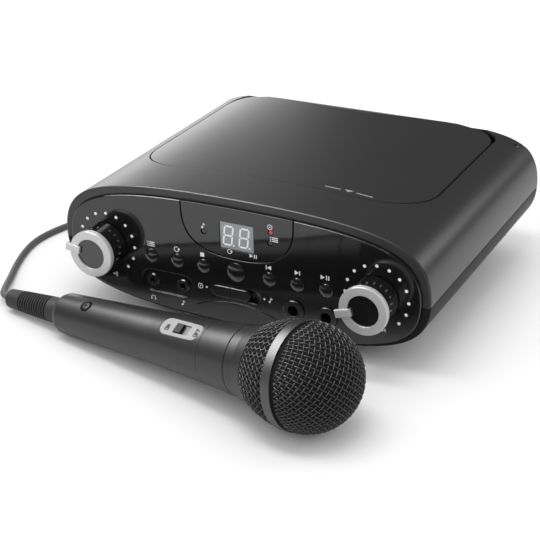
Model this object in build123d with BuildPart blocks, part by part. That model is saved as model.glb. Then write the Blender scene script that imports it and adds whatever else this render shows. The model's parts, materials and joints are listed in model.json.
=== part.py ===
from build123d import *
from math import asin, atan2, ceil, cos, degrees, floor, hypot, pi, radians, sin, sqrt, tan
import os

os.makedirs("parts", exist_ok=True)

# Karaoke machine: a low disc player in a rounded two-part case with a hinged lid, two large
# front knobs, a row of push buttons, and a corded hand microphone that lies in front of it.
# Millimetres. +X is right, +Y runs from the front panel to the back, +Z is up, and Z = 0 is
# the surface that everything stands on. Y = 0 is the front face of the fascia.

# ---------------------------------------------------------------- driving dimensions: case
CASE_W = 230.2          # width over the sides
CASE_H = 77.8           # height of the case without its feet
FOOT_GAP = 5.75         # height of the case above the surface
SQUARENESS = 3.0        # exponent of the case's section: 2 is an ellipse, more is squarer
RIM_Y = 2.0             # front edge of the shells
RIM_R = 0.9             # rounding of that edge
ROLL_Y = 158.5          # where the top and bottom begin to roll down to the back
ROLL_R = 25.2           # radius of that roll
CENTRE_Y = 46.15        # middle of the machine and its microphone, front to back
BACK_Y = 182.6          # flat back face
WALL = 2.4              # moulded wall
FLANGE_T = 2.4          # inward flange behind the front rim
SEAM_DROP = 3.45        # seam of the two shells below mid height
SEAM_GROOVE = 0.5       # height of the shadow line along the seam
SEAM_GROOVE_D = 0.8     # depth of the shadow line
CORE_INSET = 0.8        # how deep posts and ribs run into a wall

HALF_W = CASE_W / 2
HALF_H = CASE_H / 2
MID_Z = FOOT_GAP + HALF_H
SEAM_Z = MID_Z - SEAM_DROP
CASE_TOP = FOOT_GAP + CASE_H

# ---------------------------------------------------------------- driving dimensions: front
FASCIA_MARGIN = 4.8     # shell showing beside the panel
FASCIA_W = CASE_W - 2 * FASCIA_MARGIN
FASCIA_H = CASE_H - 7.0
FASCIA_DROP = 1.4       # its centre below the case's centre
FASCIA_T = 3.2          # plate
FASCIA_EDGE_R = 0.6      # rounding round its front
FASCIA_GAP = 0.15       # all round, in the shells' opening
SKIRT_INSET = 1.0
SKIRT_T = 2.0
SKIRT_D = 6.0
PANEL_Z = MID_Z - FASCIA_DROP

WINDOW_X = 1.0          # centre of the display window
WINDOW_HALF_W = 34.7
WINDOW_TOP = PANEL_Z + 31.75    # height where its sides turn straight
WINDOW_DROP = 26.0      # depth of its rounded foot below that
WINDOW_SQUARENESS = 2.6
WINDOW_T = 2.4          # lens thickness, let into the fascia
WINDOW_GROOVE = 0.9     # gap round the lens
DISPLAY_Z = PANEL_Z + 18.85
DISPLAY_W = 20.8
DISPLAY_H = 15.8
DISPLAY_FIT = 0.25
LED_R = 1.5
LED_PLACES = [(-19.9, DISPLAY_Z - 0.3), (22.3, DISPLAY_Z + 6.8), (21.8, DISPLAY_Z + 0.2)]

KNOB_X = 85.0           # knob centres, left and right
KNOB_Z = PANEL_Z - 0.35
KNOB_R = 12.8           # body at its foot
KNOB_NECK_R = 12.4      # body under the ring
KNOB_GAP = 1.2          # knob foot to fascia
KNOB_PROUD = 18.3       # front of the ring from the fascia
RING_R = 14.0
RING_BORE_R = 9.1
RING_T = 3.6
RING_GROOVE = 0.5
CAP_RECESS = 0.9        # centre cap below the ring's front
TAB_W = 4.4             # pointer across the ring
TAB_REACH = 16.4
TAB_INNER = 7.2
TAB_PROUD = 0.8
ECHO_TURN = -80.0       # pointer, degrees clockwise from the top
VOLUME_TURN = -106.0
SHAFT_R = 3.0
SHAFT_FIT = 0.05
POT_R = 8.5
POT_D = 9.0
BUSHING_R = 3.5

BUTTON_Z = PANEL_Z - 2.75
BUTTON_R = 4.1
POWER_R = 5.6
BUTTON_PROUD = 1.5
BUTTON_FIT = 0.2
BUTTON_TRAVEL = 0.8
BUTTON_FLANGE = 1.0
BUTTON_X = {
    "program_button": -55.4,
    "repeat_button": -38.05,
    "stop_button": -20.9,
    "power_button": 0.0,
    "previous_button": 20.9,
    "next_button": 38.05,
    "play_button": 55.4,
}

JACK_Z = PANEL_Z - 18.75
SMALL_JACK_X = (-55.7, -35.6)
SMALL_BORE_R = 1.8      # 3.5 mm plugs
SMALL_COLLAR_R = 4.0
BIG_JACK_X = (35.6, 55.7)
BIG_BORE_R = 3.25       # 6.35 mm plugs
BIG_COLLAR_R = 6.2
BIG_COLLAR_PROUD = 1.5
POD_X = -45.6
POD_L = 35.0
POD_H = 14.0
POD_D = 1.2
SLOT_X = -0.7
SLOT_L = 31.6
SLOT_H = 8.0
SLOT_Z = PANEL_Z - 16.25
SLIDER_L = 24.8
SLIDER_H = 6.8
SLIDER_PROUD = 1.0
SLIDER_FIT = 0.3
SLIDER_TRAVEL = 5.6
ARCH_R = 62.0           # raised line over the name place at the foot of the panel
ARCH_TOP = PANEL_Z - 21.65
ARCH_HALF_W = 27.0
ARCH_LINE = 0.6
ARCH_DEPTH = 0.5

# ---------------------------------------------------------------- driving dimensions: lid
LID_HALF_W = 91.3
LID_FRONT = 36.0
LID_BACK = 170.0
LID_FRONT_R = 36.0
LID_BACK_R = 12.0
LID_GAP = 1.0
LID_FRONT_GAP = 0.3     # closes to a hair line along the front
LID_BACK_GAP = 4.6      # room for the back edge to swing
LID_T = 2.2
PIVOT_Y = 175.0
PIVOT_Z = CASE_TOP - 13.55
ARM_X = 40.0
ARM_W = 5.0
ARM_T = 3.0
EYE_R = 2.45
PIN_R = 1.25
PIN_L = 15.0
PIN_FIT = 0.05
EAR_T = 3.0
EAR_GAP = 0.4
LID_OPEN = 68.0

# ---------------------------------------------------------------- driving dimensions: tray
DECK_TOP = CASE_TOP - 14.55
DECK_T = 2.0
LIP_T = 2.0             # lip hanging from the shell's opening down to the deck
DISC_Y = 104.0          # disc centre; its X is 0
DISC_R = 60.0
WELL_CLEAR = 1.2
WELL_FLOOR = DECK_TOP - 8.5
WELL_T = 2.0
SCOOP_R = 13.0
SCOOP_X = 62.0
SCOOP_FLOOR = DECK_TOP - 6.5
SPINDLE_HOLE_R = 16.5
SEAT_Z = WELL_FLOOR + 1.4   # underside of a disc
SEAT_R = 14.5
HUB_R = 7.35            # enters a disc's 15 mm hole
HUB_H = 3.6
MOTOR_SHAFT_R = 1.0
CHASSIS_TOP = DECK_TOP - 19.0
CHASSIS_T = 1.5
CHASSIS_W = 96.0
CHASSIS_L = 80.0
MOTOR_R = 12.0
MOTOR_H = 9.0
ROD_R = 1.5
ROD_X = 15.5
ROD_Z = CHASSIS_TOP + 3.6
ROD_FIT = 0.05
SLED_HALF_W = 18.5
SLED_L = 24.0
SLED_H = 6.0
LENS_IN = 24.0          # lens to disc centre at the first track
SLED_TRAVEL = 34.0
MODULE = 1.0
GEAR_TEETH = 16
PINION_TEETH = 8
RACK_LINE = 22.0        # pitch line of the rack
GEAR_Y = 76.0
GEAR_T = 3.0
GEAR_Z = CHASSIS_TOP + 2.0      # underside of the toothed pieces
TOOTH_SHARE = 0.42      # tooth thickness over pitch, at the pitch line
AXLE_R = 1.5
PINION_TURN = 45.0      # direction from gear to pinion

# ---------------------------------------------------------------- driving dimensions: mic
HEAD_R = 28.7
BAND_R = 28.9
BAND_FROM = 2.0
BAND_TO = 7.3
HEAD_X = 78.6
HEAD_Y = -70.1
MIC_YAW = 11.5          # degrees, from -X towards +Y
GRILLE_T = 1.2
GRILLE_BACK_S = 27.5
GRILLE_BACK_R = 21.3
SLEEVE_TO = 60.3
HANDLE_FROM = 60.5
HANDLE_TO = 177.0
HANDLE_BREAK = 100.0    # where the taper of the handle eases
TAIL_R = 11.9
TAIL_ROUND = 3.0
HANDLE_WALL = 2.2
BOOT_TO = 224.0
BOOT_R = 8.0
BOOT_END_R = 5.7
CORD_R = 2.0
SWITCH_S = 76.8         # centre of the switch along the microphone
SWITCH_TURN = 28.5      # degrees from the top towards the front
SWITCH_L = 30.0
SWITCH_W = 11.0
SWITCH_TRAVEL = 4.0


# ---------------------------------------------------------------- helpers
def facing(y):
    """Plane across the machine at y, seen from the front: local x is X and local y is Z."""
    return Plane(origin=(0, y, 0), x_dir=(1, 0, 0), z_dir=(0, -1, 0))


def level(z):
    return Plane.XY.offset(z)


def squarish(half_w, half_h, squareness=SQUARENESS):
    """Closed rounded outline of four equal curves, square to the axes where they meet."""
    reach = (8 * 0.5 ** (1 / squareness) - 4) / 3
    with BuildSketch() as flat:
        with BuildLine():
            for w, h in ((1, 1), (-1, 1), (-1, -1), (1, -1)):
                ends = [(w * half_w, 0), (0, h * half_h)]
                handles = [(w * half_w, h * reach * half_h), (w * reach * half_w, h * half_h)]
                if w * h > 0:
                    Bezier(ends[0], handles[0], handles[1], ends[1])
                else:
                    Bezier(ends[1], handles[1], handles[0], ends[0])
        make_face()
    return flat.sketch


def case_form(inset, front):
    """The case's outer form drawn in by inset all round, from y = front to its back."""
    half_w, half_h = HALF_W - inset, HALF_H - inset
    back, roll_r = BACK_Y - inset, ROLL_R - inset
    drop = roll_r - sqrt(roll_r ** 2 - (back - ROLL_Y) ** 2)
    with BuildPart() as form:
        with BuildSketch(facing(back)):
            with Locations((0, MID_Z)):
                add(squarish(half_w, half_h))
        extrude(amount=back - front)
        # side view: flat top and bottom that roll over to the flat back
        with BuildSketch(Plane.YZ.offset(-half_w)):
            with BuildLine():
                Polyline((ROLL_Y, MID_Z - half_h), (front - 1, MID_Z - half_h),
                         (front - 1, MID_Z + half_h), (ROLL_Y, MID_Z + half_h))
                RadiusArc((ROLL_Y, MID_Z + half_h), (back, MID_Z + half_h - drop), roll_r)
                Line((back, MID_Z + half_h - drop), (back, MID_Z - half_h + drop))
                RadiusArc((back, MID_Z - half_h + drop), (ROLL_Y, MID_Z - half_h), roll_r)
            make_face()
        extrude(amount=2 * half_w, mode=Mode.INTERSECT)
    return form.part


def plate_outline(half_w, front, back, front_r, back_r):
    """Plan of the lid or of its opening."""
    with BuildSketch() as plate:
        with Locations((0, (front + back) / 2)):
            Rectangle(2 * half_w, back - front)
        fillet(plate.vertices().group_by(Axis.Y)[0], front_r)
        fillet(plate.vertices().group_by(Axis.Y)[-1], back_r)
    return plate.sketch


def panel_outline(grow=0.0):
    with BuildSketch() as panel:
        with Locations((0, PANEL_Z)):
            add(squarish(FASCIA_W / 2 + grow, FASCIA_H / 2 + grow))
    return panel.sketch


def window_outline(grow=0.0):
    """U-shaped lens: straight sides over a rounded foot, cut off by the panel's top edge."""
    with BuildSketch() as lens:
        with Locations((WINDOW_X, WINDOW_TOP)):
            add(squarish(WINDOW_HALF_W + grow, WINDOW_DROP + grow, WINDOW_SQUARENESS))
        with Locations((WINDOW_X, WINDOW_TOP + WINDOW_DROP / 2)):
            Rectangle(2 * (WINDOW_HALF_W + grow), WINDOW_DROP)
    return lens.sketch


def toothed_wheel(teeth, phase):
    """Outline of a small spur wheel, with a tooth at the angle phase in degrees."""
    pitch_r = MODULE * teeth / 2
    step = 360 / teeth
    shares = ((-1.15, 0.62), (0, TOOTH_SHARE), (0.85, 0.20))
    points = []
    for tooth in range(teeth):
        middle = phase + tooth * step
        for out, share in shares:
            points.append((pitch_r + MODULE * out, middle - step * share / 2))
        for out, share in reversed(shares):
            points.append((pitch_r + MODULE * out, middle + step * share / 2))
    with BuildSketch() as wheel:
        with BuildLine():
            Polyline(*[(r * cos(radians(a)), r * sin(radians(a))) for r, a in points],
                     close=True)
        make_face()
    return wheel.sketch


def save(part, name):
    """Write one piece, set forward so that the whole stands centred over the origin."""
    placed = part.moved(Location((0, -CENTRE_Y, 0)))
    placed.label = name
    export_step(placed, f"parts/{name}.step")


# ---------------------------------------------------------------- case shells
with BuildPart() as rounded_case:
    add(case_form(0, RIM_Y))
    fillet(rounded_case.faces().sort_by(Axis.Y)[0].edges(), RIM_R)
case_outer = rounded_case.part
case_core = case_form(CORE_INSET, RIM_Y)
case_inner = case_form(WALL, RIM_Y + FLANGE_T)
opening = plate_outline(LID_HALF_W + LID_GAP, LID_FRONT - LID_FRONT_GAP,
                        LID_BACK + LID_BACK_GAP, LID_FRONT_R + LID_FRONT_GAP,
                        LID_BACK_R - LID_GAP)
front_hole = panel_outline(FASCIA_GAP)

BOSS_X = (LID_HALF_W + HALF_W) / 2 - 4.2    # case screws
BOSS_YS = (30.0, 150.0)
BOSS_R = 4.5
TOP_BOSS_R = 3.6
SCREW_R = 1.45
SCREW_HEAD_R = 2.7
SCREW_HEAD_H = 2.0
SCREW_SEAT_Z = 24.0
SCREW_BITE = 14.0
SCREW_FIT = 0.1
FOOT_X = 62.0
FOOT_YS = (24.0, 148.0)
FOOT_R = 6.5
FOOT_BOSS_R = 8.0
FOOT_RECESS = 1.0
FOOT_PAD_H = 3.2
JACK_BOARD_TOP = JACK_Z - 7.0
BOARD_T = 1.6
MAIN_BOARD_Z = 25.4
BOARD_W = 130.0
BOARD_L = 120.0
BOARD_Y = 116.0
MAIN_POSTS = [(x, y) for x in (-54.0, 54.0) for y in (BOARD_Y - 46, BOARD_Y + 50)]
JACK_POSTS = [(x, 34.0) for x in (-62.0, -22.0, 22.0, 62.0)]
POST_R = 3.0
LEG_PLACES = [(x, y) for x in (-84.0, 84.0) for y in (62.0, 146.0)]
LEG_R = 3.5
LEG_FOOT_Z = 34.0
BOSS_PLACES = [(x, y) for x in (-BOSS_X, BOSS_X) for y in BOSS_YS]
FOOT_PLACES = [(x, y) for x in (-FOOT_X, FOOT_X) for y in FOOT_YS]
VENT_L = 34.0
VENT_W = 2.6
VENT_PITCH = 7.0
VENT_COUNT = 9
RCA_X = (-50.0, -36.0, -22.0)
DC_X = 52.0
SOCKET_Z = 33.5
RCA_BARREL_R = 4.15
RCA_FLANGE_R = 5.6
DC_FACE_R = 4.4
SOCKET_FIT = 0.2

with BuildPart() as base_posts:
    with Locations(*[(x, y, 0) for x, y in BOSS_PLACES]):
        Cylinder(BOSS_R, SEAM_Z, align=(Align.CENTER, Align.CENTER, Align.MIN))
    with Locations(*[(x, y, 0) for x, y in MAIN_POSTS]):
        Cylinder(POST_R, MAIN_BOARD_Z, align=(Align.CENTER, Align.CENTER, Align.MIN))
    with Locations(*[(x, y, 0) for x, y in JACK_POSTS]):
        Cylinder(POST_R, JACK_BOARD_TOP - BOARD_T, align=(Align.CENTER, Align.CENTER, Align.MIN))
    with Locations(*[(x, y, 0) for x, y in LEG_PLACES]):
        Cylinder(LEG_R, LEG_FOOT_Z, align=(Align.CENTER, Align.CENTER, Align.MIN))
    add(case_core, mode=Mode.INTERSECT)

with BuildPart() as base_shell:
    add(case_outer)
    add(case_inner, mode=Mode.SUBTRACT)
    with BuildSketch(facing(RIM_Y + FLANGE_T)):
        add(front_hole)
    extrude(amount=FLANGE_T, mode=Mode.SUBTRACT)
    split(bisect_by=level(SEAM_Z), keep=Keep.BOTTOM)
    add(base_posts.part)
    # foot bosses stand down from the curved floor
    with BuildSketch(level(FOOT_PAD_H - FOOT_RECESS)):
        with Locations(*FOOT_PLACES):
            Circle(FOOT_BOSS_R)
    extrude(amount=MID_Z - HALF_H * 0.9 - FOOT_PAD_H + FOOT_RECESS)
    with BuildSketch(level(0)):
        with Locations(*FOOT_PLACES):
            Circle(FOOT_R)
    extrude(amount=FOOT_PAD_H, mode=Mode.SUBTRACT)
    # screw wells
    with BuildSketch(level(0)):
        with Locations(*BOSS_PLACES):
            Circle(SCREW_HEAD_R + SCREW_FIT)
    extrude(amount=SCREW_SEAT_Z, mode=Mode.SUBTRACT)
    with BuildSketch(level(0)):
        with Locations(*BOSS_PLACES):
            Circle(SCREW_R + SCREW_FIT)
    extrude(amount=SEAM_Z, mode=Mode.SUBTRACT)
    # air slots in the floor
    with BuildSketch(level(0)):
        with Locations((0, DISC_Y)):
            with GridLocations(2 * VENT_L, VENT_PITCH, 2, VENT_COUNT):
                Rectangle(VENT_L, VENT_W)
    extrude(amount=MAIN_BOARD_Z - 3, mode=Mode.SUBTRACT)
    # socket holes in the back wall
    with BuildSketch(facing(BACK_Y + 1)):
        with Locations(*[(x, SOCKET_Z) for x in RCA_X]):
            Circle(RCA_FLANGE_R + SOCKET_FIT)
        with Locations((DC_X, SOCKET_Z)):
            Circle(DC_FACE_R + SOCKET_FIT)
    extrude(amount=2 * WALL, mode=Mode.SUBTRACT)
save(base_shell.part, "base_shell")

with BuildPart() as top_posts:
    with Locations(*[(x, y, SEAM_Z) for x, y in BOSS_PLACES]):
        Cylinder(TOP_BOSS_R, CASE_H, align=(Align.CENTER, Align.CENTER, Align.MIN))
    # lip of the opening, open at the back where the hinge works
    with BuildSketch(level(DECK_TOP)):
        add(plate_outline(LID_HALF_W + LID_GAP + LIP_T, LID_FRONT - LID_GAP - LIP_T,
                          LID_BACK, LID_FRONT_R + LID_GAP + LIP_T, LIP_T))
        add(opening, mode=Mode.SUBTRACT)
    extrude(amount=CASE_H)
    # ears that hold the hinge pins
    ear_reach = ARM_W / 2 + EAR_GAP + EAR_T / 2
    with Locations(*[(side * ARM_X + hand * ear_reach, PIVOT_Y, PIVOT_Z - EYE_R)
                     for side in (-1, 1) for hand in (-1, 1)]):
        Box(EAR_T, 2 * EYE_R, CASE_H, align=(Align.CENTER, Align.CENTER, Align.MIN))
    add(case_core, mode=Mode.INTERSECT)

with BuildPart() as top_shell:
    add(case_outer)
    add(case_inner, mode=Mode.SUBTRACT)
    with BuildSketch(facing(RIM_Y + FLANGE_T)):
        add(front_hole)
    extrude(amount=FLANGE_T, mode=Mode.SUBTRACT)
    split(bisect_by=level(SEAM_Z), keep=Keep.TOP)
    # shadow line along the seam
    with BuildSketch(level(SEAM_Z)):
        with Locations((0, BACK_Y / 2)):
            Rectangle(CASE_W + 2, BACK_Y + 2)
            Rectangle(CASE_W - 2 * SEAM_GROOVE_D, BACK_Y - 2 * SEAM_GROOVE_D,
                      mode=Mode.SUBTRACT)
    extrude(amount=SEAM_GROOVE, mode=Mode.SUBTRACT)
    with BuildSketch(level(MID_Z)):
        add(opening)
    extrude(amount=CASE_H, mode=Mode.SUBTRACT)
    add(top_posts.part)
    with BuildSketch(level(SEAM_Z)):
        with Locations(*BOSS_PLACES):
            Circle(SCREW_R + SCREW_FIT / 2)
    extrude(amount=SCREW_BITE + 1, mode=Mode.SUBTRACT)
    with BuildSketch(Plane.YZ.offset(-HALF_W)):
        with Locations((PIVOT_Y, PIVOT_Z)):
            Circle(PIN_R)
    extrude(amount=CASE_W, mode=Mode.SUBTRACT)
save(top_shell.part, "top_shell")

with BuildPart() as case_screws:
    with Locations(*[(x, y, SCREW_SEAT_Z - SCREW_HEAD_H) for x, y in BOSS_PLACES]):
        Cylinder(SCREW_HEAD_R, SCREW_HEAD_H, align=(Align.CENTER, Align.CENTER, Align.MIN))
    with Locations(*[(x, y, SCREW_SEAT_Z) for x, y in BOSS_PLACES]):
        Cylinder(SCREW_R, SEAM_Z + SCREW_BITE - SCREW_SEAT_Z,
                 align=(Align.CENTER, Align.CENTER, Align.MIN))
save(case_screws.part, "case_screws")

with BuildPart() as rubber_feet:
    with Locations(*[(x, y, 0) for x, y in FOOT_PLACES]):
        Cylinder(FOOT_R - SOCKET_FIT, FOOT_PAD_H, align=(Align.CENTER, Align.CENTER, Align.MIN))
    fillet(rubber_feet.edges().group_by(Axis.Z)[0], 0.8)
save(rubber_feet.part, "rubber_feet")

# ---------------------------------------------------------------- front panel
BOARD_FRONT = 13.0      # front face of the upright board behind the buttons
FRONT_POSTS = [(x, z) for x in (-65.0, 65.0) for z in (BUTTON_Z - 3.5, DISPLAY_Z - 2.1)]

with BuildPart() as front_fascia:
    with BuildSketch(facing(FASCIA_T)):
        add(panel_outline())
    extrude(amount=FASCIA_T)
    fillet(front_fascia.faces().sort_by(Axis.Y)[0].edges(), FASCIA_EDGE_R)
    with BuildSketch(facing(FASCIA_T + SKIRT_D)):
        add(panel_outline(-SKIRT_INSET))
        add(panel_outline(-SKIRT_INSET - SKIRT_T), mode=Mode.SUBTRACT)
    extrude(amount=SKIRT_D)
    with BuildSketch(facing(BOARD_FRONT)):
        with Locations(*FRONT_POSTS):
            Circle(POST_R)
    extrude(amount=BOARD_FRONT - FASCIA_T)
    # bed of the display window, and the openings behind it
    with BuildSketch(facing(WINDOW_T)):
        add(window_outline(WINDOW_GROOVE))
    extrude(amount=WINDOW_T + 1, mode=Mode.SUBTRACT)
    with BuildSketch(facing(FASCIA_T)):
        with Locations((WINDOW_X, DISPLAY_Z)):
            Rectangle(DISPLAY_W + 2 * DISPLAY_FIT, DISPLAY_H + 2 * DISPLAY_FIT)
        with Locations(*LED_PLACES):
            Circle(LED_R + DISPLAY_FIT)
    extrude(amount=FASCIA_T, mode=Mode.SUBTRACT)
    # recess round the two small sockets
    with BuildSketch(facing(POD_D)):
        with Locations((POD_X, JACK_Z)):
            SlotOverall(POD_L, POD_H)
    extrude(amount=POD_D + 1, mode=Mode.SUBTRACT)
    # holes for buttons, sockets, knob bushings and the slide switch
    with BuildSketch(facing(FASCIA_T)):
        for button, x in BUTTON_X.items():
            with Locations((x, BUTTON_Z)):
                Circle((POWER_R if button == "power_button" else BUTTON_R) + BUTTON_FIT)
        with Locations(*[(x, JACK_Z) for x in SMALL_JACK_X]):
            Circle(SMALL_COLLAR_R + SOCKET_FIT)
        with Locations(*[(x, JACK_Z) for x in BIG_JACK_X]):
            Circle(BIG_COLLAR_R + SOCKET_FIT)
        with Locations((-KNOB_X, KNOB_Z), (KNOB_X, KNOB_Z)):
            Circle(BUSHING_R + SOCKET_FIT)
        with Locations((SLOT_X, SLOT_Z)):
            SlotOverall(SLOT_L, SLOT_H)
    extrude(amount=FASCIA_T, mode=Mode.SUBTRACT)
    # fine arched line at the foot of the panel
    with BuildSketch(facing(ARCH_DEPTH)):
        with Locations((0, ARCH_TOP - ARCH_R)):
            Circle(ARCH_R)
            Circle(ARCH_R - ARCH_LINE, mode=Mode.SUBTRACT)
        with Locations((0, ARCH_TOP)):
            Rectangle(2 * ARCH_HALF_W, ARCH_R / 2, mode=Mode.INTERSECT)
    extrude(amount=ARCH_DEPTH + 1, mode=Mode.SUBTRACT)
save(front_fascia.part, "front_fascia")

with BuildPart() as display_window:
    with BuildSketch(facing(WINDOW_T)):
        add(window_outline())
        add(panel_outline(), mode=Mode.INTERSECT)
        with Locations((WINDOW_X, DISPLAY_Z)):
            Rectangle(DISPLAY_W + 2 * DISPLAY_FIT, DISPLAY_H + 2 * DISPLAY_FIT,
                      mode=Mode.SUBTRACT)
        with Locations(*LED_PLACES):
            Circle(LED_R + DISPLAY_FIT, mode=Mode.SUBTRACT)
    extrude(amount=WINDOW_T)
save(display_window.part, "display_window")

DISPLAY_FACE = 0.35     # display face behind the panel's front
with BuildPart() as display_module:
    with BuildSketch(facing(FASCIA_T + 0.1)):
        with Locations((WINDOW_X, DISPLAY_Z)):
            Rectangle(DISPLAY_W, DISPLAY_H)
    extrude(amount=FASCIA_T + 0.1 - DISPLAY_FACE)
    with BuildSketch(facing(BOARD_FRONT)):
        with Locations((WINDOW_X, DISPLAY_Z)):
            Rectangle(DISPLAY_W + 4, DISPLAY_H + 3)
    extrude(amount=BOARD_FRONT - FASCIA_T - 0.1)
save(display_module.part, "display_module")

with BuildPart() as indicator_leds:
    with BuildSketch(facing(FASCIA_T + 5)):
        with Locations(*LED_PLACES):
            Circle(LED_R)
    extrude(amount=FASCIA_T + 5 - DISPLAY_FACE)
    fillet(indicator_leds.edges().group_by(Axis.Y)[0], 0.7)
    with BuildSketch(facing(BOARD_FRONT)):
        with Locations(*LED_PLACES):
            Circle(LED_R + 0.4)
    extrude(amount=BOARD_FRONT - FASCIA_T - 1)
save(indicator_leds.part, "indicator_leds")

SWITCH_BACK = 0.05      # room left between a pressed stem and its switch


def push_button(name, x, radius):
    """Domed cap with a flange behind the panel and a stem that meets its switch."""
    flange_y = FASCIA_T + BUTTON_FIT
    stem_end = BOARD_FRONT - 2.3 - BUTTON_TRAVEL - SWITCH_BACK
    with BuildPart() as button:
        with BuildSketch(Plane(origin=(x, 0, BUTTON_Z))):
            with BuildLine():
                ThreePointArc((0, -BUTTON_PROUD), (radius * 0.62, -BUTTON_PROUD * 0.72),
                              (radius, -BUTTON_PROUD * 0.15))
                Polyline((radius, -BUTTON_PROUD * 0.15), (radius, flange_y),
                         (radius + BUTTON_FLANGE, flange_y),
                         (radius + BUTTON_FLANGE, flange_y + 1.2), (2, flange_y + 1.2),
                         (2, stem_end), (0, stem_end), (0, -BUTTON_PROUD))
            make_face()
        revolve(axis=Axis((x, 0, BUTTON_Z), (0, 1, 0)))
    save(button.part, name)
    return button.part


for name, x in BUTTON_X.items():
    push_button(name, x, POWER_R if name == "power_button" else BUTTON_R)

FRONT_BOARD_HALF_W = 68.0
FRONT_BOARD_Z = (33.0, 72.0)
TONGUE_HALF_W = 24.0
TONGUE_Z = 19.0
JACK_BOARD_Y = (4.0, 40.0)
with BuildPart() as front_boards:
    with BuildSketch(facing(BOARD_FRONT + BOARD_T)):
        with Locations((0, sum(FRONT_BOARD_Z) / 2)):
            Rectangle(2 * FRONT_BOARD_HALF_W, FRONT_BOARD_Z[1] - FRONT_BOARD_Z[0])
        with Locations((0, (TONGUE_Z + FRONT_BOARD_Z[0]) / 2)):
            Rectangle(2 * TONGUE_HALF_W, FRONT_BOARD_Z[0] - TONGUE_Z)
    extrude(amount=BOARD_T)
    # one switch behind each button
    with BuildSketch(facing(BOARD_FRONT)):
        with Locations(*[(x, BUTTON_Z) for x in BUTTON_X.values()]):
            Rectangle(6, 6)
    extrude(amount=2.3)
    with BuildSketch(level(JACK_BOARD_TOP - BOARD_T)):
        with Locations((0, sum(JACK_BOARD_Y) / 2)):
            Rectangle(2 * FRONT_BOARD_HALF_W, JACK_BOARD_Y[1] - JACK_BOARD_Y[0])
    extrude(amount=BOARD_T)
save(front_boards.part, "front_boards")


def small_jack(name, x):
    with BuildPart() as jack:
        with Locations((x, FASCIA_T, JACK_BOARD_TOP)):
            Box(11, 14, 12.5, align=(Align.CENTER, Align.MIN, Align.MIN))
        with BuildSketch(facing(FASCIA_T)):
            with Locations((x, JACK_Z)):
                Circle(SMALL_COLLAR_R)
        extrude(amount=FASCIA_T - 0.2)
        chamfer(jack.faces().sort_by(Axis.Y)[0].edges(), 0.6)
        with BuildSketch(facing(FASCIA_T + 12)):
            with Locations((x, JACK_Z)):
                Circle(SMALL_BORE_R)
        extrude(amount=FASCIA_T + 14, mode=Mode.SUBTRACT)
    save(jack.part, name)


def big_jack(name, x):
    with BuildPart() as jack:
        with Locations((x, FASCIA_T, JACK_BOARD_TOP)):
            Box(16, 30, 14, align=(Align.CENTER, Align.MIN, Align.MIN))
        with BuildSketch(facing(FASCIA_T)):
            with Locations((x, JACK_Z)):
                Circle(BIG_COLLAR_R)
        extrude(amount=FASCIA_T + BIG_COLLAR_PROUD)
        fillet(jack.faces().sort_by(Axis.Y)[0].edges(), 0.6)
        with BuildSketch(facing(FASCIA_T + 28)):
            with Locations((x, JACK_Z)):
                Circle(BIG_BORE_R)
        extrude(amount=FASCIA_T + 31, mode=Mode.SUBTRACT)
    save(jack.part, name)


for name, x in zip(("headphone_jack", "aux_jack"), SMALL_JACK_X):
    small_jack(name, x)
for name, x in zip(("mic_jack_left", "mic_jack_right"), BIG_JACK_X):
    big_jack(name, x)

SLIDER_X = SLOT_X - SLOT_L / 2 + SLIDER_FIT + SLIDER_L / 2
TONGUE_W = 4.0
TONGUE_H = 2.4
SWITCH_FRONT = FASCIA_T + BUTTON_FIT + 1.2 + SLIDER_FIT
with BuildPart() as source_slider:
    with BuildSketch(facing(FASCIA_T + BUTTON_FIT)):
        with Locations((SLIDER_X, SLOT_Z)):
            SlotOverall(SLIDER_L, SLIDER_H)
    extrude(amount=FASCIA_T + BUTTON_FIT + SLIDER_PROUD)
    fillet(source_slider.faces().sort_by(Axis.Y)[0].edges(), 0.5)
    with Locations((SLIDER_X, -SLIDER_PROUD, SLOT_Z)):
        Box(0.7, 1.0, SLIDER_H + 2, mode=Mode.SUBTRACT)
    with BuildSketch(facing(FASCIA_T + BUTTON_FIT + 1.2)):
        with Locations((SLIDER_X, SLOT_Z)):
            Rectangle(SLIDER_L + 2, SLIDER_H + 3)
    extrude(amount=1.2)
    with BuildSketch(facing(SWITCH_FRONT + 2.0)):
        with Locations((SLIDER_X, SLOT_Z)):
            Rectangle(TONGUE_W, TONGUE_H)
    extrude(amount=2.0 + SLIDER_FIT)
save(source_slider.part, "source_slider")

with BuildPart() as source_switch:
    with BuildSketch(facing(BOARD_FRONT)):
        with Locations((SLOT_X, SLOT_Z)):
            Rectangle(36, 9)
    extrude(amount=BOARD_FRONT - SWITCH_FRONT)
    with BuildSketch(facing(SWITCH_FRONT + 2.5)):
        with Locations((SLIDER_X + SLIDER_TRAVEL / 2, SLOT_Z)):
            Rectangle(TONGUE_W + SLIDER_TRAVEL + 2 * SLIDER_FIT, TONGUE_H + 2 * SLIDER_FIT)
    extrude(amount=3, mode=Mode.SUBTRACT)
save(source_switch.part, "source_switch")


# ---------------------------------------------------------------- knobs
def radial_bar(x, turn, r_from, r_to, width):
    """Bar along the radius at turn, in degrees clockwise from the top."""
    middle = (r_from + r_to) / 2
    place = (x + middle * sin(radians(turn)), KNOB_Z + middle * cos(radians(turn)))
    with BuildSketch() as bar:
        with Locations(place):
            Rectangle(r_to - r_from, width, rotation=90 - turn)
    return bar.sketch


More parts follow.
